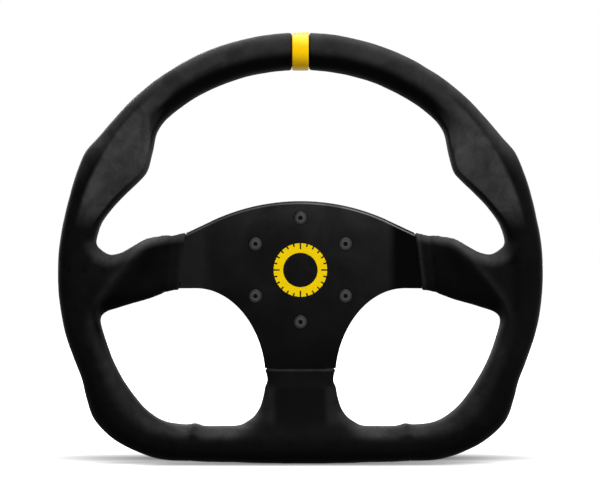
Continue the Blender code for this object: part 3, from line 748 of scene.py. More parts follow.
class SkinPlaces:
    """Where the points of the skin lie.

    turn is the angle round the rim in degrees, with the left half folded onto the right: 90 is twelve
    o'clock and -90 is six. across goes from 0 at the rim's inner side to 1 at its outer side.
    """

    def __init__(self, co, no):
        self.x, self.y, self.z = co.T
        self.side = np.abs(self.x)
        self.radius = np.hypot(self.x, self.z)
        self.turn = np.degrees(folded_angle(self.x, self.z))
        turns = np.linspace(-90, 90, 361)
        radii = np.array([smoothed(RIM_OUTLINE, turn) for turn in turns]) * MM
        inner, outer = (np.interp(self.turn, turns, column) for column in radii.T)
        self.across = (self.radius - inner) / (outer - inner)
        self.driver_side = 1 - soft_step(RIM_MIDDLE - 10 * MM, RIM_MIDDLE - 4 * MM, self.y)
        self.towards_driver = -no[:, 1]
        self.upwards = soft_step(0.2, 0.6, no[:, 2])
        self.facing = 1 - soft_step(0.0, 0.5, no[:, 1])

    def inner_edge(self, start, end):
        return 1 - soft_step(start, end, self.across)


def top_painted_light(at):
    """Painted light on the top of the rim, as overhead light falls: dark inside, light outside, lightest
    along its outer edge, and a little darker to the right.
    """
    by_rest = soft_step(56, 50, at.turn)
    light_half = soft_step(0.27 - 0.02 * by_rest, 0.54 - 0.14 * by_rest, at.across)
    light_half = np.maximum(light_half, by_rest * soft_step(97.2 * MM, 99.6 * MM, at.side))
    top = 0.02 + 0.49 * light_half - 0.09 * soft_step(0.56, 0.7, at.across)
    top += 0.3 * soft_step(0.76, 0.95, at.across)
    top *= 1 - 0.16 * soft_step(0, 90 * MM, at.x)
    share = soft_step(26, 42, at.turn + 8 * soft_step(0.6, 0.9, at.across))
    return (top - BASE_PAINTED_LIGHT) * share


def lower_painted_light(at):
    """Painted light on the sides and bottom of the rim: a painted highlight along the inner side, painted
    shade in the puckers and at the seams, and darker patches on the left.
    """
    down = -at.turn
    narrow = soft_step(60, 80, down)
    flank = soft_step(10, 24, down) * soft_step(34 * MM, 50 * MM, at.side)
    painted_light = flank * (0.27 - 0.02 * narrow) * at.inner_edge(0.12 - 0.04 * narrow, 0.5)
    corner = soft_step(36, 52, down) * (1 - soft_step(68, 76, down))
    painted_light += 0.14 * corner * bump(at.across - 0.15, 0.1)
    painted_light -= 0.03 * soft_step(14, 40, down) * soft_step(0.55, 0.8, at.across)
    painted_light -= 0.18 * bump(at.side - 71 * MM, 5.0 * MM) * (at.z < RIM_FOOT) * at.inner_edge(0.2, 0.45)
    left_patches = 0.16 * bump(at.turn + 15, 5) * at.inner_edge(0.06, 0.2)
    left_patches += 0.1 * bump(at.turn - 15, 6) * at.inner_edge(0.02, 0.12)
    return painted_light - left_patches * (at.x < 0)


def rest_painted_light(at):
    """Painted light on the thumb rests, brightest along their outer ridge."""
    rest = thumb_window(at.x, at.z) * soft_step(0, 3 * MM, THUMB_RIDGE - at.radius) * at.driver_side
    rest *= soft_step(0.55, 0.9, at.towards_driver)
    rest *= 1 - 0.5 * bump(at.turn - 14, 3.5) * soft_step(0.3, 0.5, at.across)
    rest *= 1 - np.where(at.x > 0, 0.6, 0.4) * bump(at.turn - 46, 6) * bump(at.across - 0.42, 0.14)
    return 0.8 * rest * (0.72 + 0.4 * soft_step(14 * MM, 2 * MM, THUMB_RIDGE - at.radius))


def sleeve_painted_light(at):
    """Painted light on the side sleeves: painted highlights along the crest and the shoulder, painted shade
    in the hollow between them.
    """
    distance, along = line_distance(at.side, at.z, CREST)
    painted_light = 0.13 * bump(distance, 3 * MM) * at.facing * (1 - soft_step(0.8, 1, along))
    painted_light -= 0.035 * bump(beside_crest(at.side, at.z, distance) - 8 * MM, 6 * MM) * at.facing
    painted_light -= 0.03 * bump(np.hypot(at.x + 97 * MM, at.z - 1 * MM), 11 * MM) * at.facing
    distance, along = line_distance(at.side, at.z, SHOULDER_HIGHLIGHT_LINE)
    narrow = soft_step(0.4, 0.65, along)
    shoulder = 1 - soft_step(MM + 1.2 * MM * narrow, 9.5 * MM - 1.5 * MM * narrow, distance)
    return painted_light + 0.9 * shoulder * soft_step(0.04, 0.2, along) * (1 - 0.35 * soft_step(0.75, 0.95, along))


def edge_painted_light(at):
    """Painted highlights on the sleeves' rolled edges and hems, darker seams beside the band, and three
    small darker spots.
    """
    side_edge = sleeve_edge_distance(at.x, at.z)
    hem = 0.03 * (1 - soft_step(HEM_WIDTH - 2 * MM, HEM_WIDTH, side_edge))
    rolled = np.where(at.x > 0, 0.24, 0.08) * bump(side_edge - 1.4 * MM, 1.4 * MM)
    painted_light = np.where(near_side_edge(at.x, at.z), hem + rolled, 0)
    bottom_lip = 0.37 * bump(BOTTOM_EDGE_Z - at.z - 0.7 * MM, 0.8 * MM)
    painted_light += np.where(near_bottom_edge(at.x, at.z), bottom_lip, 0)
    painted_light -= np.where(at.z > 0, 0.1 * bump(at.side - BAND_SEAM_X, 1.2 * MM), 0)
    for spot_x, spot_z in DARKER_SPOTS:
        painted_light -= 0.05 * bump(np.hypot(-at.x - spot_x, at.z - spot_z), 1.6 * MM) * (at.x < 0)
    return painted_light


def foot_painted_light(at):
    """Painted light on the bottom sleeve: lighter collar and sides, a darker flat front, and painted bright
    flares into the rim.
    """
    on_sleeve = soft_step(-104 * MM, -98 * MM, at.z) * (at.z < -66 * MM) * (at.side < 60 * MM)
    front = (1 - soft_step(14 * MM, 18 * MM, at.side)) * soft_step(77 * MM, 80 * MM, -at.z)
    sides = soft_step(15 * MM, 20 * MM, at.side) * soft_step(76 * MM, 80 * MM, -at.z)
    distance, along = line_distance(at.side, at.z, FLARE_HIGHLIGHT_LINE)
    flares = bump(distance, 3.5 * MM) * (1 - soft_step(0.6, 1, along)) * soft_step(0, 0.25, along)
    return (on_sleeve * (0.13 * sides - 0.03 * front) + 0.5 * flares) * at.facing


# Painted light: the suede's back, facing the column, is made lighter.
def back_painted_light(at):
    behind = soft_step(RIM_MIDDLE - 1 * MM, RIM_MIDDLE + 9 * MM, at.y)
    return 0.18 * behind * soft_step(0, 0.5, -at.towards_driver)


def highlights(at):
    """Painted highlights, the brightest: the sleeves' upper ridges, the rim's foot and the rests' inner
    sides.
    """
    ridge = 0.8 * bump(at.side - 101 * MM, 10 * MM) * bump(at.z - 19 * MM, 6 * MM)
    foot = 0.35 * (bump(at.side - 77 * MM, 7 * MM) + bump(at.side - 51 * MM, 13 * MM)) * (at.z < RIM_FOOT)
    return (ridge + foot) * at.upwards + 0.6 * bump(at.turn - 33, 8) * at.inner_edge(0.03, 0.1) * at.facing


def painted_light_of(co, no):
    """Painted light and shade on the suede: 0 is black and 1 is fully lit. Crests and edges get painted
    highlights.
    """
    at = SkinPlaces(co, no)
    parts = (top_painted_light, lower_painted_light, rest_painted_light, sleeve_painted_light, edge_painted_light, foot_painted_light, back_painted_light)
    painted_light = BASE_PAINTED_LIGHT + sum(part(at) for part in parts)
    return np.clip(np.clip(painted_light, 0, 1) + highlights(at), 0, BRIGHTEST_PAINTED_LIGHT)


def make_covers(skin, material):
    bm = bmesh_from(skin.data)
    for depth in EDGE_LOOPS:
        cut_across_sleeves(bm, depth, clear=depth == 0)
    cut_seams(bm)
    write_back(bm, skin.data)
    put_back(skin, tuck(*sculpt_arrays(skin)))
    # Painted light and shade for each point of the skin, read by the suede's colour.
    write_values(skin, "painted_light", painted_light_of(*sculpt_arrays(skin)))

    def cover_at(p):
        if p.z < SEAM_TOP and abs(p.x) < SEAM_X - SEAM_GAP:
            return "bottom"
        edge = SEAM_X + SEAM_GAP if p.z < SEAM_TOP else BAND_SEAM_X
        return "right" if p.x > edge else "left" if -p.x > edge else None

    for name in ("left", "right", "bottom"):
        bm = bmesh_from(skin.data)
        others = [f for f in bm.faces if cover_at(f.calc_center_median()) != name]
        bmesh.ops.delete(bm, geom=others, context="FACES")
        bmesh.ops.triangulate(bm, faces=[f for f in bm.faces if len(f.verts) > 4])
        cover = new_piece(f"suede_cover_{name}", bm, material, normals=False)
        modified(cover, "SOLIDIFY", thickness=COVER_THICKNESS, offset=-1)
        cover.data.shade_smooth()
        cover.data.set_sharp_from_angle(angle=radians(65))
        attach(cover, "root")
        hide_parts(f"cover_{name}")
    bpy.data.objects.remove(skin)


def make_core(skin, material):
    """The moulded foam under the suede, with stubs that end just inside the sleeves."""
    blank = modified(new_object("blank", skin.data.copy()), "REMESH", mode="VOXEL", voxel_size=FOAM_GRAIN)
    co, no = sculpt_arrays(blank)
    put_back(blank, co - no * FOAM_INSET)
    bm = bmesh_from(blank.data)
    bpy.data.objects.remove(blank)
    cut_across_sleeves(bm, STUB_INSET, clear=True)
    bmesh.ops.holes_fill(bm, edges=[e for e in bm.edges if e.is_boundary])
    bmesh.ops.triangulate(bm, faces=[f for f in bm.faces if len(f.verts) > 4])
    core = new_piece("foam_core", bm, material)
    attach(core, "root")
    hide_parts("rim_core")


# ---- Stitching -----------------------------------------------------------------------------------
STITCH_PITCH = 4.6 * MM
STITCH_REACH = 2.2 * MM
STITCH_SLANT = 0.28
THREAD_RADIUS = 0.36 * MM
RIM_SEAM_TURN = 0.82 * pi
RIM_SEAM_MARGIN = radians(3.2)


def wires(name, lines, radius, material, resolution, sharp=None):
    """Round wires or threads through lines of points, as one piece."""
    curve = bpy.data.curves.new(name, "CURVE")
    curve.dimensions = "3D"
    curve.bevel_depth = radius
    curve.bevel_resolution = resolution
    curve.use_fill_caps = True
    for points in lines:
        spline = curve.splines.new("POLY")
        spline.points.add(len(points) - 1)
        for place, point in zip(spline.points, points):
            place.co = (*point, 1)
    holder = new_object(name, curve)
    mesh = evaluated_mesh(holder)
    bpy.data.objects.remove(holder)
    bm = bmesh_from(mesh)
    bpy.data.meshes.remove(mesh)
    return new_piece(name, bm, material, sharp)


def cross_stitches(tree, line):
    """Slanting stitches over a seam that runs along a line of points near the skin."""
    stitches = []
    for before, here, after in zip(line, line[1:], line[2:]):
        along = (after - before).normalized()
        normal = tree.find_nearest(here)[1]
        across = normal.cross(along).normalized()
        points = []
        for share in (-1, -0.6, 0, 0.6, 1):
            reach = here + across * share * STITCH_REACH + along * share * STITCH_SLANT * STITCH_PITCH
            foot, up, _, _ = tree.find_nearest(reach)
            height = (0.75 - 1.05 * abs(share) ** 3) * THREAD_RADIUS
            points.append(foot + up * height)
        stitches.append(points)
    return stitches


def even_points(points, pitch):
    """Points at an even pitch along a line."""
    lengths = [0.0]
    for a, b in zip(points, points[1:]):
        lengths.append(lengths[-1] + (b - a).length)
    count = max(int(lengths[-1] / pitch), 2)
    wanted = np.linspace(0, lengths[-1], count + 1)
    axes = [np.interp(wanted, lengths, [p[k] for p in points]) for k in range(3)]
    return [Vector(p) for p in zip(*axes)]


def side_sleeve_seam(side):
    line = []
    for distance in np.linspace(81, 132, 30):
        low, high, half = smoothed(SIDE_SLEEVE, distance)
        back = arm_middle(distance * MM, SIDE_BEND) + half * MM
        line.append(Vector((side * distance * MM, back, (low + high) / 2 * MM)))
    return line


def bottom_sleeve_seam():
    line = []
    for depth in np.linspace(68.5, 101, 25):
        half = smoothed(BOTTOM_SLEEVE, -depth)[1]
        line.append(Vector((0, arm_middle(depth * MM, BOTTOM_BEND) + half * MM, -depth * MM)))
    return line


def make_stitching(tree, material):
    """The seam on the back of the inner side, all the way round, and along the back of each sleeve."""
    angles = np.linspace(pi / 2 - RIM_SEAM_MARGIN, -pi / 2 + RIM_SEAM_MARGIN, 201)
    right = [rim_point(angle, RIM_SEAM_TURN) for angle in angles]
    left = [Vector((-p.x, p.y, p.z)) for p in right]
    stitches = []
    for line in (right, left, side_sleeve_seam(1), side_sleeve_seam(-1), bottom_sleeve_seam()):
        stitches += cross_stitches(tree, even_points(line, STITCH_PITCH))
    seam = wires("cover_stitching", stitches, THREAD_RADIUS, material, resolution=1)
    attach(seam, "root")


# ---- Centre band ---------------------------------------------------------------------------------
# Half of the strap's section: distance in from its side edge, and depth under the rim's surface.
BAND_SIDE = [
    (0, 1.2), (0, 0.7), (0.02, 0.3), (0.12, 0.02), (0.4, -0.14), (0.9, -0.2), (3.0, -0.26), (5.4, -0.28),
]


def make_band(material):
    right = [(BAND_HALF_WIDTH - inwards * MM, depth) for inwards, depth in BAND_SIDE]
    outline = right + [(-x, depth) for x, depth in reversed(right[:-1])]
    bm = spun([(START_TUBE - depth * MM, x) for x, depth in outline], BAND_STEPS, along_x=True)

    def place(p):
        point = rim_point(pi / 2, atan2(p.y, p.z), START_TUBE - hypot(p.y, p.z))
        return Vector((p.x, point.y, point.z))

    band = new_piece("centre_band_strap", reshaped(bm, place), material, sharp=radians(60))
    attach(band, "root")
    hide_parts("centre_band")


# ---- Plate ---------------------------------------------------------------------------------------
def arc(centre, width, height, start, turn, steps):
    """Points along an ellipse, from a starting angle through a turn."""
    angles = [start + turn * i / steps for i in range(steps + 1)]
    return [(centre[0] + width * cos(a), centre[1] + height * sin(a)) for a in angles]


def plate_outline():
    """The plate and its arms to where they join the ring, as (x, z) points."""
    end = asin(PLATE_TOP_ARC_END / PLATE_TOP_RADIUS)
    top = arc((0, PLATE_TOP - PLATE_TOP_RADIUS), PLATE_TOP_RADIUS, PLATE_TOP_RADIUS, pi / 2, -end, 32)
    upper, lower = ARM_UPPER_EDGE - NECK_DROP, ARM_LOWER_EDGE + NECK_DROP
    join = rim_radii(0)[1] - FRAME_RING_INSET - FRAME_RING_WIDTH / 4
    neck = [
        (sleeve_edge(ARM_UPPER_EDGE) - CLEARANCE, ARM_UPPER_EDGE),
        (sleeve_edge(upper) - CLEARANCE, upper),
        (SIDE_BEND[1], SIDE_NECK_END[1]),
        (join, SIDE_NECK_END[1]),
        (join, SIDE_NECK_END[0]),
        (SIDE_BEND[1], SIDE_NECK_END[0]),
        (sleeve_edge(lower) - CLEARANCE, lower),
        (sleeve_edge(ARM_LOWER_EDGE) - CLEARANCE, ARM_LOWER_EDGE),
    ]
    end_of_arm = BOTTOM_EDGE_Z + CLEARANCE
    last = asin((end_of_arm - CUTOUT_CENTRE[1]) / CUTOUT_HALF_HEIGHT)
    cutout = arc(CUTOUT_CENTRE, CUTOUT_HALF_WIDTH, CUTOUT_HALF_HEIGHT, pi / 2, pi / 2 - last, 40)
    foot = -(rim_radii(-pi / 2)[1] - FRAME_RING_INSET) + FRAME_RING_WIDTH / 4
    arm = [(BOTTOM_NECK_HALF_WIDTH, end_of_arm), (BOTTOM_NECK_HALF_WIDTH, foot)]
    right = top + neck + cutout + arm
    return right + [(-x, z) for x, z in reversed(right) if x > 1e-6]


def plate_blank(material):
    """The flat plate, with its top edge rounded and flattened to half the round's depth."""
    bm = extruded([(x, PLATE_FRONT, z) for x, z in plate_outline()], PLATE_THICKNESS)

    def on_top_edge(vertex):
        return vertex.co.y < PLATE_MIDDLE and vertex.co.z > ARM_UPPER_EDGE - 0.1 * MM

    top = [e for e in bm.edges if all(on_top_edge(v) for v in e.verts)]
    bmesh.ops.bevel(
        bm, geom=top, offset=TOP_EDGE_ROUND, segments=5, profile=0.5, affect="EDGES", material=-1,
        clamp_overlap=True,
    )
    for vertex in bm.verts:
        if vertex.co.y < PLATE_FRONT + TOP_EDGE_ROUND + 0.01 * MM:
            vertex.co.y = PLATE_FRONT + (vertex.co.y - PLATE_FRONT) / 2
    return new_piece("spoke_plate", bm, material)


def screw_places():
    angles = [pi / 2 + 2 * pi * i / BODY_COUNT for i in range(BODY_COUNT)]
    return [
        Vector((SCREW_CIRCLE_RADIUS * cos(a), PLATE_FRONT + SCREW_SINK, SCREW_CIRCLE_RADIUS * sin(a)))
        for a in angles
    ]


def screw_hole(place, material):
    head, shank = SCREW_HEAD_RADIUS + CLEARANCE, SCREW_SHANK_RADIUS + CLEARANCE
    end = PLATE_THICKNESS + 4 * OVERCUT
    profile = [
        (0, -OVERCUT), (head, -OVERCUT), (head, SCREW_RIM), (shank, SCREW_RIM + head - shank), (shank, end),
        (0, end),
    ]
    hole = new_piece("hole", spun(profile, COUNTERSINK_STEPS, closed=False), material)
    hole.data.transform(Matrix.Translation(place))
    return hole


def bend_arms(obj):
    """Bends the plate's three arms towards the driver."""
    bm = bmesh_from(obj.data)
    arms = ((SIDE_BEND, Vector((1, 0, 0)), (1, -1)), (BOTTOM_BEND, Vector((0, 0, 1)), (-1,)))
    for bend, normal, sides in arms:
        softness = BEND_SOFTNESS * (bend[1] - bend[0])
        stops = [bend[0] + softness * share for share in (-1, -0.6, -0.2, 0.2, 0.6, 1)]
        stops += [bend[1] + softness * share for share in (-1, 0, 1)]
        for place in [normal * side * stop for stop in stops for side in sides]:
            cut_plane(bm, place, normal, lambda p: True)
    for vertex in bm.verts:
        share = float(ramp(abs(vertex.co.x), SIDE_BEND)) + float(ramp(-vertex.co.z, BOTTOM_BEND))
        vertex.co.y += RISE * share
    write_back(bm, obj.data)


def mark_top_edge_highlight(plate):
    """Marks the plate's front, and the round along its top that gets a painted highlight as bare metal."""
    bm = bmesh_from(plate.data)
    edge_highlight = []
    for vertex in bm.verts:
        x, z = vertex.co.x, vertex.co.z
        clear_of_holes = hypot(x, z) > HIGHLIGHT_HUB and z > HIGHLIGHT_LOW and abs(x) < HIGHLIGHT_SIDE
        slopes = [f.normal.z for f in vertex.link_faces if f.normal.y < -0.6]
        all_in_front = len(slopes) == len(vertex.link_faces)
        on_edge = clear_of_holes and all_in_front and 0.03 < min(slopes) and max(slopes) < 0.3
        edge_highlight.append(0.3 + 0.7 * float(soft_step(*HIGHLIGHT_FADE, x)) if on_edge else 0.0)
    bm.free()
    write_values(plate, "edge_highlight", edge_highlight)
    _, normals = sculpt_arrays(plate)
    write_values(plate, "front", (normals[:, 1] < -0.1).astype(float))


def make_plate(material):
    plate = plate_blank(material)
    combine(plate, [screw_hole(place, material) for place in screw_places()], "DIFFERENCE")
    bend_arms(plate)
    rounded_edges(plate, PLATE_EDGE, segments=3, angle=30)

    def place(angle, u, v):
        radius = rim_radii(angle)[1] - FRAME_RING_INSET + u
        return Vector((radius * cos(angle), RIM_MIDDLE + v, radius * sin(angle)))

    half, thick = FRAME_RING_WIDTH / 2, PLATE_THICKNESS / 2
    section = [(half, thick), (-half, thick), (-half, -thick), (half, -thick)]
    ring = new_piece("ring", swept_round(section, FRAME_RING_STEPS, place), material)
    combine(plate, [ring], "UNION")
    plate.data.shade_smooth()
    plate.data.set_sharp_from_angle(angle=CREASE)
    mark_top_edge_highlight(plate)
    true_planes(plate)
    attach(plate, "root")
    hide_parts("spoke_frame")


MARK_INNER = 11.6 * MM
MARK_OUTER = 18 * MM
MARK_THICKNESS = 0.06 * MM
MARK_SINK = 0.02 * MM
MARK_NOTCHES = 24
NOTCH_WIDTH = 1 * MM
LONG_NOTCH = 4.6 * MM
SHORT_NOTCH = 2.6 * MM
NOTCH_OVERRUN = 0.6 * MM


def make_mark(material):
    """A plain ring with notches round its edge, painted on the middle of the plate."""
    back, front = PLATE_FRONT + MARK_SINK, PLATE_FRONT - MARK_THICKNESS
    profile = [(MARK_INNER, back), (MARK_INNER, front), (MARK_OUTER, front), (MARK_OUTER, back)]
    mark = new_piece("centre_ring_mark", spun(profile, TURNED_STEPS), material, sharp=CREASE)
    notches = []
    for i in range(MARK_NOTCHES):
        bm = bmesh.new()
        bmesh.ops.create_cube(bm, size=1)
        length = SHORT_NOTCH if i % 6 else LONG_NOTCH
        bmesh.ops.scale(bm, vec=(length, 2 * OVERCUT, NOTCH_WIDTH), verts=bm.verts)
        shifted(bm, (MARK_OUTER - length / 2 + NOTCH_OVERRUN, PLATE_FRONT, 0))
        notches.append(new_piece("notch", turned(bm, 2 * pi * i / MARK_NOTCHES, "Y"), material))
    combine(mark, notches, "DIFFERENCE")
    true_planes(mark)
    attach(mark, "root")


# ---- Screws --------------------------------------------------------------------------------------
DISH_DEPTH = 0.22 * MM
DISH_RISE = 0.5 * MM
DISH_SHARES = (0, 0.45, 0.6, 0.72, 0.82, 0.92, 1)
SCREW_TURN = radians(17)
SOCKET_SHADE_MARGIN = 0.1 * MM


def make_screws(material):
    """Countersunk screws with dished heads and hex sockets, each turned a little more than the last."""
    head, shank = SCREW_HEAD_RADIUS, SCREW_SHANK_RADIUS
    dish = [(head * share, DISH_RISE * share**3 - DISH_DEPTH) for share in DISH_SHARES]
    cone_end = SCREW_RIM + head - shank
    profile = [*dish, (head, SCREW_RIM), (shank, cone_end), (shank, SCREW_LENGTH), (0, SCREW_LENGTH)]
    pattern = new_piece("pattern", spun(profile, SCREW_STEPS, closed=False), material)
    bm = bmesh.new()
    bmesh.ops.create_cone(
        bm, cap_ends=True, segments=6, radius1=HEX_CORNER, radius2=HEX_CORNER, depth=2 * HEX_DEPTH
    )
    combine(pattern, [new_piece("socket", turned(bm, pi / 2, "X"), material)], "DIFFERENCE")
    rounded_edges(pattern, SCREW_EDGE)
    x, depth, z = sculpt_arrays(pattern)[0].T
    radius = np.hypot(x, z)
    # Painted shade: black down in the hex socket, and darker towards the head's rim, where it sinks into
    # the plate.
    in_socket = (radius < HEX_CORNER + SOCKET_SHADE_MARGIN) & (depth > SOCKET_SHADE_MARGIN) & (depth < 3 * MM)
    rim_shade = 0.92 * soft_step(0.4 * head, 0.97 * head, radius)
    write_values(pattern, "screw_shade", np.where(in_socket, 1.0, rim_shade))
    for number, place in enumerate(screw_places(), 1):
        screw = new_object(f"countersunk_screw_{number}", pattern.data.copy())
        screw.data.transform(Matrix.Translation(place) @ Matrix.Rotation(SCREW_TURN * number, 4, "Y"))
        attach(screw, "root")
        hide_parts(f"plate_screw_{number}")
    bpy.data.objects.remove(pattern)


# ---- Coupler -------------------------------------------------------------------------------------
BODY_ANGLES = [2 * pi * i / BODY_COUNT for i in range(BODY_COUNT)]
# One tooth and one groove of the spline: share of the pitch, and radius.
SPLINE_PITCH = [
    (-0.25, SPLINE_GROOVE), (-0.02, SPLINE_GROOVE), (0.2, SPLINE_GROOVE),
    (0.3, SPLINE_TIP), (0.48, SPLINE_TIP), (0.65, SPLINE_TIP),
]


def solid_cylinder(radius, start, end, steps):
    return spun([(0, start), (radius, start), (radius, end), (0, end)], steps, closed=False)


def rounded_corners(profile, sizes):
    """A closed profile with a small arc at each of its corners that has a size."""
    points = []
    for number, place in enumerate(profile):
        size = sizes.get(place, 0)
        corner, before = Vector(place), Vector(profile[number - 1])
        after = Vector(profile[(number + 1) % len(profile)])
        start = corner + (before - corner).normalized() * size
        end = corner + (after - corner).normalized() * size
        for share in (0, 0.25, 0.5, 0.75, 1) if size else (0,):
            rest = 1 - share
            points.append(tuple(start * rest**2 + corner * 2 * share * rest + end * share**2))
    return points


def spline_cutter(material):
    """The splined part of the bore: grooves between teeth."""
    front = COUPLER_FRONT - OVERCUT
    outline = []
    for tooth in range(SPLINE_TEETH):
        for share, radius in SPLINE_PITCH:
            angle = 2 * pi / SPLINE_TEETH * (tooth + share)
            outline.append((radius * cos(angle), front, radius * sin(angle)))
    return new_piece("spline", extruded(outline, SPLINE_START + OVERCUT - front), material)


def ball_hole(angle, material):
    """A hole through the barrel, with a lip that holds the ball."""
    seat = BORE_RADIUS + BALL_LIP
    lip = sqrt(BALL_RADIUS**2 - (BALL_CIRCLE - seat) ** 2) + CLEARANCE
    radius = BALL_RADIUS + CLEARANCE
    start, end = BORE_RADIUS - OVERCUT, BARREL_RADIUS + OVERCUT
    profile = [(0, start), (lip, start), (lip, seat), (radius, seat), (radius, end), (0, end)]
    bm = turned(spun(profile, HOLE_STEPS, closed=False), -pi / 2, "Z")
    shifted(bm, (0, BALL_PLANE, 0))
    return new_piece("ball hole", turned(bm, -angle, "Y"), material)


def make_coupler(material):
    """The wheel's half of the quick release: a flange, and a barrel with a splined bore and ball holes."""
    pilot = SPLINE_TIP - OVERCUT
    lead_in = 0.8 * MM
    foot = 1.2 * MM
    groove = (CLIP_FRONT - CLEARANCE, CLIP_FRONT + CLIP_THICKNESS + CLEARANCE)
    fillet = [
        (BARREL_RADIUS + foot * (1 - sin(a)), FLANGE_BACK + foot * (1 - cos(a)))
        for a in (0, pi / 8, pi / 4, 3 * pi / 8, pi / 2)
    ]
    profile = [
        (pilot, COUPLER_FRONT), (FLANGE_RADIUS, COUPLER_FRONT), (FLANGE_RADIUS, FLANGE_BACK), *fillet,
        (BARREL_RADIUS, groove[0]), (GROOVE_RADIUS, groove[0]), (GROOVE_RADIUS, groove[1]),
        (BARREL_RADIUS, groove[1]), (BARREL_RADIUS, 0), (pilot, 0),
    ]
    corners = {
        (FLANGE_RADIUS, COUPLER_FRONT): 0.6 * MM, (FLANGE_RADIUS, FLANGE_BACK): 1.0 * MM,
        (BARREL_RADIUS, 0): 0.8 * MM,
    }
    body = new_piece("quick_release_body", spun(rounded_corners(profile, corners), TURNED_STEPS), material)
    bore = [
        (0, SPLINE_START), (BORE_RADIUS, SPLINE_START), (BORE_RADIUS, -lead_in),
        (BORE_RADIUS + lead_in + OVERCUT, OVERCUT), (0, OVERCUT),
    ]
    cutters = [new_piece("bore", spun(bore, TURNED_STEPS, closed=False), material), spline_cutter(material)]
    cutters += [ball_hole(angle, material) for angle in BODY_ANGLES]
    for place in screw_places():
        ends = (COUPLER_FRONT - OVERCUT, FLANGE_BACK + OVERCUT)
        hole = solid_cylinder(SCREW_SHANK_RADIUS + CLEARANCE, *ends, HOLE_STEPS)
        cutters.append(new_piece("screw hole", shifted(hole, (place.x, 0, place.z)), material))
    combine(body, cutters, "DIFFERENCE")
    rounded_edges(body, COUPLER_EDGE, angle=38)
    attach(body, "root")
    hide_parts("coupler_body")


def make_release_ring(material):
    """The sprung collar, with grip notches round its finger flange."""
    low, high = RING_FLANGE
    profile = [
        (LAND_RADIUS + BALL_TRAVEL, RING_REAR), (RING_OUTER, RING_REAR), (RING_OUTER, high),
        (RING_FLANGE_RADIUS, high), (RING_FLANGE_RADIUS, low), (RING_OUTER, low), (RING_OUTER, RING_FRONT),
        (COUNTERBORE, RING_FRONT), (COUNTERBORE, SPRING_SEAT), (LAND_RADIUS, SPRING_SEAT),
        (LAND_RADIUS, BALL_PLANE),
    ]
    corners = {
        (RING_OUTER, RING_REAR): 0.6 * MM, (RING_OUTER, high): 0.7 * MM, (RING_OUTER, low): 1.2 * MM,
        (RING_FLANGE_RADIUS, high): 0.9 * MM, (RING_FLANGE_RADIUS, low): 0.9 * MM,
        (RING_OUTER, RING_FRONT): 0.8 * MM, (COUNTERBORE, RING_FRONT): 0.4 * MM,
    }
    pitch = 2 * pi / GRIP_COUNT
    gathering = 0.55 * pitch / (2 * pi)
    softness = 0.2 * MM

    def notched(place):
        """Draws the flange's edge inwards at the grip notches, and gathers the mesh there."""
        radius, angle = hypot(place.x, place.z), atan2(place.z, place.x)
        angle -= gathering * sin(2 * pi * angle / pitch)
        distance = abs(angle - pitch * round(angle / pitch)) * RING_FLANGE_RADIUS
        bite = sqrt(max(GRIP_RADIUS**2 - distance**2, 0)) - GRIP_OFFSET
        depth = (bite + hypot(bite, softness)) / 2
        radius -= depth * float(soft_step(RING_FLANGE_RADIUS - 2 * MM, RING_FLANGE_RADIUS - MM, radius))
        return Vector((radius * cos(angle), place.y, radius * sin(angle)))

    bm = reshaped(spun(rounded_corners(profile, corners), GRIP_STEPS * GRIP_COUNT), notched)
    ring = true_planes(new_piece("quick_release_ring", bm, material, sharp=CREASE))
    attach(ring, "release_ring")
    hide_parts("release_ring")


def make_spring(material):
    """The release ring's spring, wound evenly between the flange and the ring's seat."""
    radius = BARREL_RADIUS + SPRING_GAP
    start, end = FLANGE_BACK + CLEARANCE + SPRING_WIRE, SPRING_SEAT - CLEARANCE - SPRING_WIRE
    points = []
    for share in np.linspace(0, 1, int(SPRING_TURNS * COIL_STEPS) + 1):
        angle = 2 * pi * SPRING_TURNS * share
        points.append((radius * cos(angle), start + (end - start) * share, radius * sin(angle)))
    spring = wires("quick_release_spring", [points], SPRING_WIRE, material, resolution=3, sharp=radians(50))
    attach(spring, "root")
    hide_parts("return_spring")
    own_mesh(spring)


CLIP_WIDTH = 4.2 * MM
CLIP_MOUTH = radians(24)
MOUTH_CUT = 40 * MM
EYE_RADIUS = 0.9 * MM
EYE_ANGLE = radians(6)


def make_clip(material):
    """The open circlip, with an eye at each end of its mouth."""
    inner = GROOVE_RADIUS + CLEARANCE
    outer = inner + CLIP_WIDTH
    front, rear = CLIP_FRONT - OVERCUT, CLIP_FRONT + CLIP_THICKNESS
    section = [(inner, CLIP_FRONT), (outer, CLIP_FRONT), (outer, rear), (inner, rear)]
    section = rounded_corners(section, {(outer, rear): 0.3 * MM, (inner, rear): 0.2 * MM})
    clip = new_piece("retaining_circlip", spun(section, TURNED_STEPS), material)
    wedge = [(0, 0), (MOUTH_CUT, -CLIP_MOUTH / 2), (MOUTH_CUT, CLIP_MOUTH / 2)]
    mouth = extruded([(r * sin(a), front, -r * cos(a)) for r, a in wedge], CLIP_THICKNESS + 2 * OVERCUT)
    cutters = [new_piece("mouth", mouth, material)]
    reach = (inner + outer) / 2
    for angle in (CLIP_MOUTH / 2 + EYE_ANGLE, -CLIP_MOUTH / 2 - EYE_ANGLE):
        eye = solid_cylinder(EYE_RADIUS, front, rear + OVERCUT, EYE_STEPS)
        shifted(eye, (reach * sin(angle), 0, -reach * cos(angle)))
        cutters.append(new_piece("eye", eye, material))
    combine(clip, cutters, "DIFFERENCE")
    rounded_edges(clip, CLIP_EDGE)
    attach(clip, "root")
    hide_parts("retaining_clip")


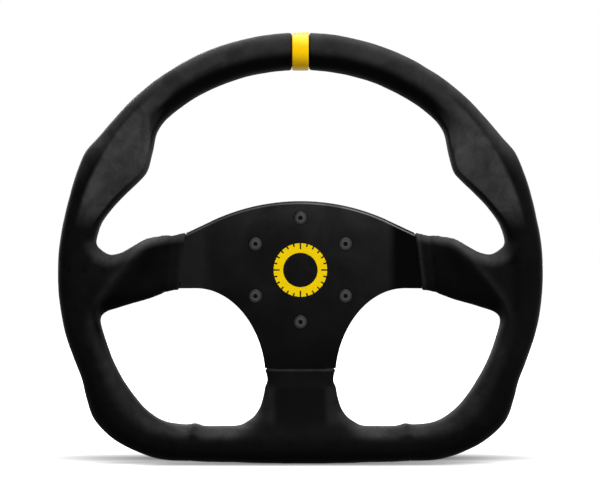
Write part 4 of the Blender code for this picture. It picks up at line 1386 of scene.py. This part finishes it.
def make_balls(material):
    for number, angle in enumerate(BODY_ANGLES, 1):
        bm = bmesh.new()
        bmesh.ops.create_icosphere(bm, subdivisions=4, radius=BALL_RADIUS)
        shifted(bm, (BALL_CIRCLE * cos(angle), BALL_PLANE, BALL_CIRCLE * sin(angle)))
        ball = new_piece(f"locking_ball_{number}", bm, material)
        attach(ball, f"lock_ball_{number}")
        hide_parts(f"lock_ball_{number}")


# ---- Finishes ------------------------------------------------------------------------------------
class Nodes:
    """Short ways to add and join the nodes of one tree."""

    def __init__(self, tree):
        self.tree = tree

    def put(self, value, socket):
        """Joins an output to the socket, or sets the socket to a number or a colour."""
        if isinstance(value, bpy.types.NodeSocket):
            self.tree.links.new(value, socket)
        else:
            socket.default_value = (*value, 1) if isinstance(value, tuple) else value

    def add(self, kind, inputs=None, **settings):
        node = self.tree.nodes.new(kind)
        for name, value in settings.items():
            setattr(node, name, value)
        for name, value in (inputs or {}).items():
            self.put(value, node.inputs[name])
        return node

    def noise(self, vector, scale, detail, roughness, distortion=0.0):
        inputs = {"Vector": vector, "Scale": scale, "Detail": detail, "Roughness": roughness}
        return self.add("ShaderNodeTexNoise", {**inputs, "Distortion": distortion}).outputs["Fac"]

    def spread(self, value, low, high, to_low=0.0, to_high=1.0):
        inputs = {"Value": value, "From Min": low, "From Max": high, "To Min": to_low, "To Max": to_high}
        return self.add("ShaderNodeMapRange", inputs).outputs["Result"]

    def vary(self, noise, low, high):
        """Spreads the part of a noise where nearly all of it lies from low to high."""
        return self.spread(noise, 0.3, 0.7, low, high)

    def sum(self, operation, first, second=0.0):
        return self.add("ShaderNodeMath", {0: first, 1: second}, operation=operation).outputs["Value"]

    def plus(self, first, second):
        return self.sum("ADD", first, second)

    def times(self, first, second):
        return self.sum("MULTIPLY", first, second)

    def length(self, first, second):
        return self.sum("SQRT", self.plus(self.times(first, first), self.times(second, second)))

    def blend(self, share, first, second):
        inputs = {"Factor": share, 6: first, 7: second}
        return self.add("ShaderNodeMix", inputs, data_type="RGBA").outputs[2]

    def attribute(self, name):
        return self.add("ShaderNodeAttribute", attribute_name=name).outputs["Fac"]


def grain_group():
    """Grain at one size with a broader mottle: heights and a mask, both round 0.5."""
    group = bpy.data.node_groups.new("surface grain", "ShaderNodeTree")
    sockets = [
        ("Vector", "INPUT", "Vector"), ("Grain Scale", "INPUT", "Float"),
        ("Mottle Scale", "INPUT", "Float"), ("Grain", "OUTPUT", "Float"), ("Mottle", "OUTPUT", "Float"),
    ]
    for name, way, kind in sockets:
        group.interface.new_socket(name=name, in_out=way, socket_type=f"NodeSocket{kind}")
    nodes = Nodes(group)
    given = nodes.add("NodeGroupInput").outputs
    grain = nodes.noise(given["Vector"], given["Grain Scale"], 3, 0.65)
    mottle = nodes.noise(given["Vector"], given["Mottle Scale"], 4, 0.6, 0.8)
    nodes.add("NodeGroupOutput", {"Grain": grain, "Mottle": mottle})
    return group


GRAIN = grain_group()


class Finish(Nodes):
    """A material with its shader, its grain and mottle, and the place on the piece that they follow."""

    SHADER_INPUTS = {
        "metallic": "Metallic", "specular": "Specular IOR Level", "sheen": "Sheen Weight",
        "sheen_roughness": "Sheen Roughness",
    }

    def __init__(self, name, grain_scale=None, mottle_scale=None):
        self.material = bpy.data.materials.new(name)
        self.material.use_nodes = True
        super().__init__(self.material.node_tree)
        self.shader = self.tree.nodes["Principled BSDF"]
        self.place = self.add("ShaderNodeTexCoord").outputs["Object"]
        if grain_scale:
            scales = {"Vector": self.place, "Grain Scale": grain_scale, "Mottle Scale": mottle_scale}
            self.grain, self.mottle = self.add("ShaderNodeGroup", scales, node_tree=GRAIN).outputs

    def axes(self):
        return self.add("ShaderNodeSeparateXYZ", {0: self.place}).outputs

    def made(self, colour, roughness, height=None, bump=None, **others):
        """The material with its shader's inputs put in. A bump is a distance and a strength."""
        inputs = {"Base Color": colour, "Roughness": roughness}
        inputs.update({self.SHADER_INPUTS[name]: value for name, value in others.items()})
        if bump:
            raised = {"Height": height, "Distance": bump[0], "Strength": bump[1]}
            inputs["Normal"] = self.add("ShaderNodeBump", raised).outputs["Normal"]
        for name, value in inputs.items():
            self.put(value, self.shader.inputs[name])
        return self.material


def suede_finish():
    """Black suede, made lighter where light is painted on, with a random mottle."""
    suede = Finish("black suede", 1500, 70)
    patches = suede.spread(suede.mottle, 0.35, 0.65, 0.72, 1.28)
    uneven = suede.plus(patches, suede.vary(suede.grain, -0.2, 0.2))
    # The painted light and shade, times the random mottle.
    painted_share = suede.spread(suede.times(suede.attribute("painted_light"), uneven), 0.0, BRIGHTEST_PAINTED_LIGHT)
    colour = suede.blend(painted_share, (0.0006, 0.0006, 0.0007), (0.0805, 0.0805, 0.082))
    roughness = suede.vary(suede.mottle, 0.62, 0.78)
    return suede.made(
        colour, roughness, suede.grain, (0.12 * MM, 0.6), specular=0.02, sheen=0.18, sheen_roughness=0.3
    )


def band_finish():
    """Yellow, with painted shade along the top of the band at the outside of the rim, where the overhead
    light falls most.
    """
    band = Finish("yellow band", 1800, 120)
    share = band.plus(band.vary(band.mottle, 0.2, 0.8), band.vary(band.grain, -0.2, 0.2))
    yellow = band.blend(share, (0.94, 0.53, 0.0), (1.0, 0.62, 0.0))
    # Painted shade along the band's top, at the outside of the rim.
    outer = band.spread(band.axes()["Z"], 150 * MM, 156 * MM)
    colour = band.blend(outer, yellow, (0.46, 0.32, 0.06))
    return band.made(colour, 0.35, band.grain, (0.05 * MM, 0.5), specular=0.12)


def paint_finish():
    paint = Finish("yellow paint", 2500, 260)
    colour = paint.blend(paint.vary(paint.mottle, 0.0, 1.0), (0.90, 0.62, 0.0), (0.95, 0.68, 0.0))
    return paint.made(colour, 0.42, paint.grain, (0.02 * MM, 0.5), specular=0.1)


def metal_finish(name, dark, light, roughness, metallic, turned=False):
    """An even metal finish; a turned piece has fine lines round its axis."""
    metal = Finish(name, 4200, 38)
    grain = metal.grain
    if turned:
        x, y, z = metal.axes()
        lines = metal.add("ShaderNodeCombineXYZ", {"X": metal.length(x, z), "Y": y})
        grain = metal.noise(lines.outputs["Vector"], 2600, 3, 0.6)
    share = metal.plus(metal.vary(metal.mottle, 0.1, 0.9), metal.vary(grain, -0.1, 0.1))
    sheen = metal.vary(metal.mottle, roughness - 0.05, roughness + 0.06)
    colour = metal.blend(share, dark, light)
    return metal.made(colour, sheen, grain, (0.03 * MM, 0.5), metallic=metallic, specular=0.5)


def plate_finish():
    """Black powder coat, slightly uneven, with painted shade to its lower left and past the right bend, and
    a painted top highlight.
    """
    coat = Finish("black plate coat", 4200, 38)
    x, _, z = coat.axes()
    # Painted shade: darker lower down and to the left, and near black past the right arm's bend, where it
    # turns from the light. The back keeps an even, lighter colour.
    height = coat.spread(z, -60 * MM, 45 * MM, 0.1, 1.0)
    height = coat.plus(height, coat.spread(z, 22 * MM, 44 * MM, 0.0, 0.75))
    across = coat.spread(x, -60 * MM, 60 * MM, 0.6, 1.1)
    before_bend = coat.spread(x, SIDE_BEND[0] - 3 * MM, SIDE_BEND[0] + 2 * MM, 1.0, 0.0)
    painted_shading = coat.times(coat.times(coat.times(height, across), coat.vary(coat.mottle, 0.6, 1.4)), before_bend)
    behind = coat.spread(coat.attribute("front"), 0.0, 1.0, 0.75, 0.0)
    painted_shading = coat.sum("MAXIMUM", painted_shading, coat.times(behind, coat.vary(coat.mottle, 0.7, 1.3)))
    colour = coat.blend(coat.times(painted_shading, 0.5), (0.0003, 0.0003, 0.0004), (0.0217, 0.0217, 0.0227))
    # A painted highlight along the top edge, light grey as bare metal.
    edge_highlight = coat.times(coat.attribute("edge_highlight"), coat.spread(coat.mottle, 0.35, 0.65, 0.6, 1.0))
    colour = coat.blend(edge_highlight, colour, (0.30, 0.30, 0.30))
    sheen = coat.vary(coat.mottle, 0.36, 0.46)
    return coat.made(colour, sheen, coat.grain, (0.03 * MM, 0.5), specular=0.07)


def screw_finish():
    """Dull zinc, with painted shade down in the hex socket and round the rim of the head."""
    zinc = Finish("dull zinc", 3600, 300)
    clean = zinc.blend(zinc.mottle, (0.045, 0.045, 0.047), (0.085, 0.085, 0.088))
    colour = zinc.blend(zinc.attribute("screw_shade"), clean, (0.001, 0.001, 0.001))
    return zinc.made(colour, zinc.vary(zinc.grain, 0.4, 0.55), zinc.grain, (0.03 * MM, 0.5), metallic=0.5)


def thread_finish():
    """Black thread with the slanting strands of its twist."""
    thread = Finish("black thread")
    inputs = {"Vector": thread.place, "Scale": 900}
    twist = thread.add("ShaderNodeTexWave", inputs, bands_direction="DIAGONAL").outputs["Fac"]
    colour = thread.blend(twist, (0.014, 0.014, 0.015), (0.045, 0.045, 0.047))
    return thread.made(colour, 0.6, twist, (0.08 * MM, 0.6))


def foam_finish():
    foam = Finish("moulded foam", 900, 90)
    colour = foam.blend(foam.grain, (0.012, 0.012, 0.012), (0.04, 0.04, 0.04))
    return foam.made(colour, 0.9, foam.grain, (0.2 * MM, 0.7))


# ---- Stage ---------------------------------------------------------------------------------------
FLOOR_DROP = 0.2 * MM
FLOOR_HALF_SIZE = 12
# The painted contact shadow: how far towards the driver its middle lies, and its half width and half depth.
SHADE_BACK = 30 * MM
SHADE_HALF_WIDTH = 160 * MM
SHADE_HALF_DEPTH = 31 * MM


def floor_finish():
    """Pale paper that stays white to the camera, with a soft contact shadow painted under the wheel."""
    floor = Finish("pale floor", 30, 3)
    rays = floor.add("ShaderNodeLightPath").outputs
    seen = floor.sum("MAXIMUM", rays["Is Camera Ray"], floor.times(rays["Is Glossy Ray"], 0.25))
    x, y, _ = floor.axes()
    # A painted contact shadow: an ellipse under the wheel, darker in its middle, on the paper and its white
    # glow alike.
    side = floor.sum("DIVIDE", x, SHADE_HALF_WIDTH)
    depth = floor.sum("DIVIDE", floor.plus(y, SHADE_BACK), SHADE_HALF_DEPTH)
    shade = floor.spread(floor.length(side, depth), 0.6, 1.48, 0.08, 1.0)
    paper = floor.blend(floor.mottle, (0.70, 0.70, 0.70), (0.72, 0.72, 0.72))
    paper = floor.blend(shade, (0.01, 0.01, 0.01), paper)
    material = floor.made(floor.blend(seen, (0.2, 0.2, 0.2), paper), 0.9, specular=0.1)
    away = floor.add("ShaderNodeVectorMath", {0: floor.place}, operation="LENGTH").outputs["Value"]
    lift = floor.times(floor.spread(away, 0.25, 1.0, 0.5, 1.0), shade)
    glow = floor.add("ShaderNodeEmission", {"Strength": floor.times(seen, lift)}).outputs["Emission"]
    both = floor.add("ShaderNodeAddShader", {0: floor.shader.outputs["BSDF"], 1: glow})
    floor.put(both.outputs["Shader"], floor.tree.nodes["Material Output"].inputs["Surface"])
    return material


def make_floor():
    bm = bmesh.new()
    bmesh.ops.create_grid(bm, x_segments=1, y_segments=1, size=FLOOR_HALF_SIZE)
    shifted(bm, (0, 0, cad_box[0].z - FLOOR_DROP))
    new_piece("floor", bm, floor_finish(), normals=False)


def make_world():
    world = bpy.data.worlds.new("studio")
    bpy.context.scene.world = world
    world.use_nodes = True
    nodes = Nodes(world.node_tree)
    background = world.node_tree.nodes["Background"]
    seen = nodes.add("ShaderNodeLightPath").outputs["Is Camera Ray"]
    nodes.put((1, 1, 1), background.inputs["Color"])
    nodes.put(nodes.spread(seen, 0, 1, 0.05, 1.0), background.inputs["Strength"])


# Each lamp's name, place, the point that it is aimed at, width, height and watts.
WHEEL = (0, -0.05, 0)
LAMPS = [
    ("overhead", (0.15, -0.15, 1.1), WHEEL, 1.0, 0.6, 9.5),
    ("high front", (0.3, -1.0, 0.95), WHEEL, 1.0, 0.6, 15),
    ("right side", (0.95, -0.85, 0.2), WHEEL, 0.5, 0.8, 4),
    ("behind", (-0.5, 1.25, 0.75), WHEEL, 1.0, 0.8, 24),
    ("high behind", (0, 0.16, 1.15), (0, -0.05, 0.05), 0.9, 0.35, 12),
]


def make_lights():
    for name, place, target, width, height, watts in LAMPS:
        light = bpy.data.lights.new(name, "AREA")
        light.shape = "RECTANGLE"
        light.size, light.size_y = width, height
        light.energy = watts
        obj = new_object(name, light)
        obj.location = place
        obj.rotation_euler = (Vector(target) - Vector(place)).to_track_quat("-Z", "Y").to_euler()


VIEW_DISTANCE = 1.15
VIEW_WIDTH = 396.54 * MM
VIEW_CENTRE = (-0.25 * MM, 14.8 * MM)
SENSOR_WIDTH = 36


def make_camera():
    camera = bpy.data.cameras.new("camera")
    camera.sensor_width = SENSOR_WIDTH
    camera.lens = SENSOR_WIDTH * VIEW_DISTANCE / VIEW_WIDTH
    camera.clip_start, camera.clip_end = 0.05, 50
    obj = new_object("camera", camera)
    obj.location = (VIEW_CENTRE[0], RIM_MIDDLE - VIEW_DISTANCE, VIEW_CENTRE[1])
    obj.rotation_euler = (pi / 2, 0, 0)
    bpy.context.scene.camera = obj


def main():
    skin = make_skin()
    skin_mesh = bmesh_from(skin.data)
    tree = BVHTree.FromBMesh(skin_mesh)
    skin_mesh.free()
    make_core(skin, foam_finish())
    make_covers(skin, suede_finish())
    make_stitching(tree, thread_finish())
    make_band(band_finish())
    make_plate(plate_finish())
    make_mark(paint_finish())
    make_screws(screw_finish())
    black = ((0.008, 0.008, 0.009), (0.016, 0.016, 0.018))
    make_coupler(metal_finish("black anodised coupler", *black, 0.34, 0.5, turned=True))
    red = ((0.32, 0.005, 0.007), (0.46, 0.011, 0.013))
    make_release_ring(metal_finish("red anodised ring", *red, 0.28, 0.85, turned=True))
    steel = metal_finish("bright steel", (0.5, 0.5, 0.51), (0.64, 0.64, 0.66), 0.24, 1.0)
    make_spring(steel)
    make_clip(steel)
    make_balls(steel)
    make_floor()
    make_world()
    make_lights()
    make_camera()
    bpy.context.scene.view_settings.view_transform = "Standard"


main()
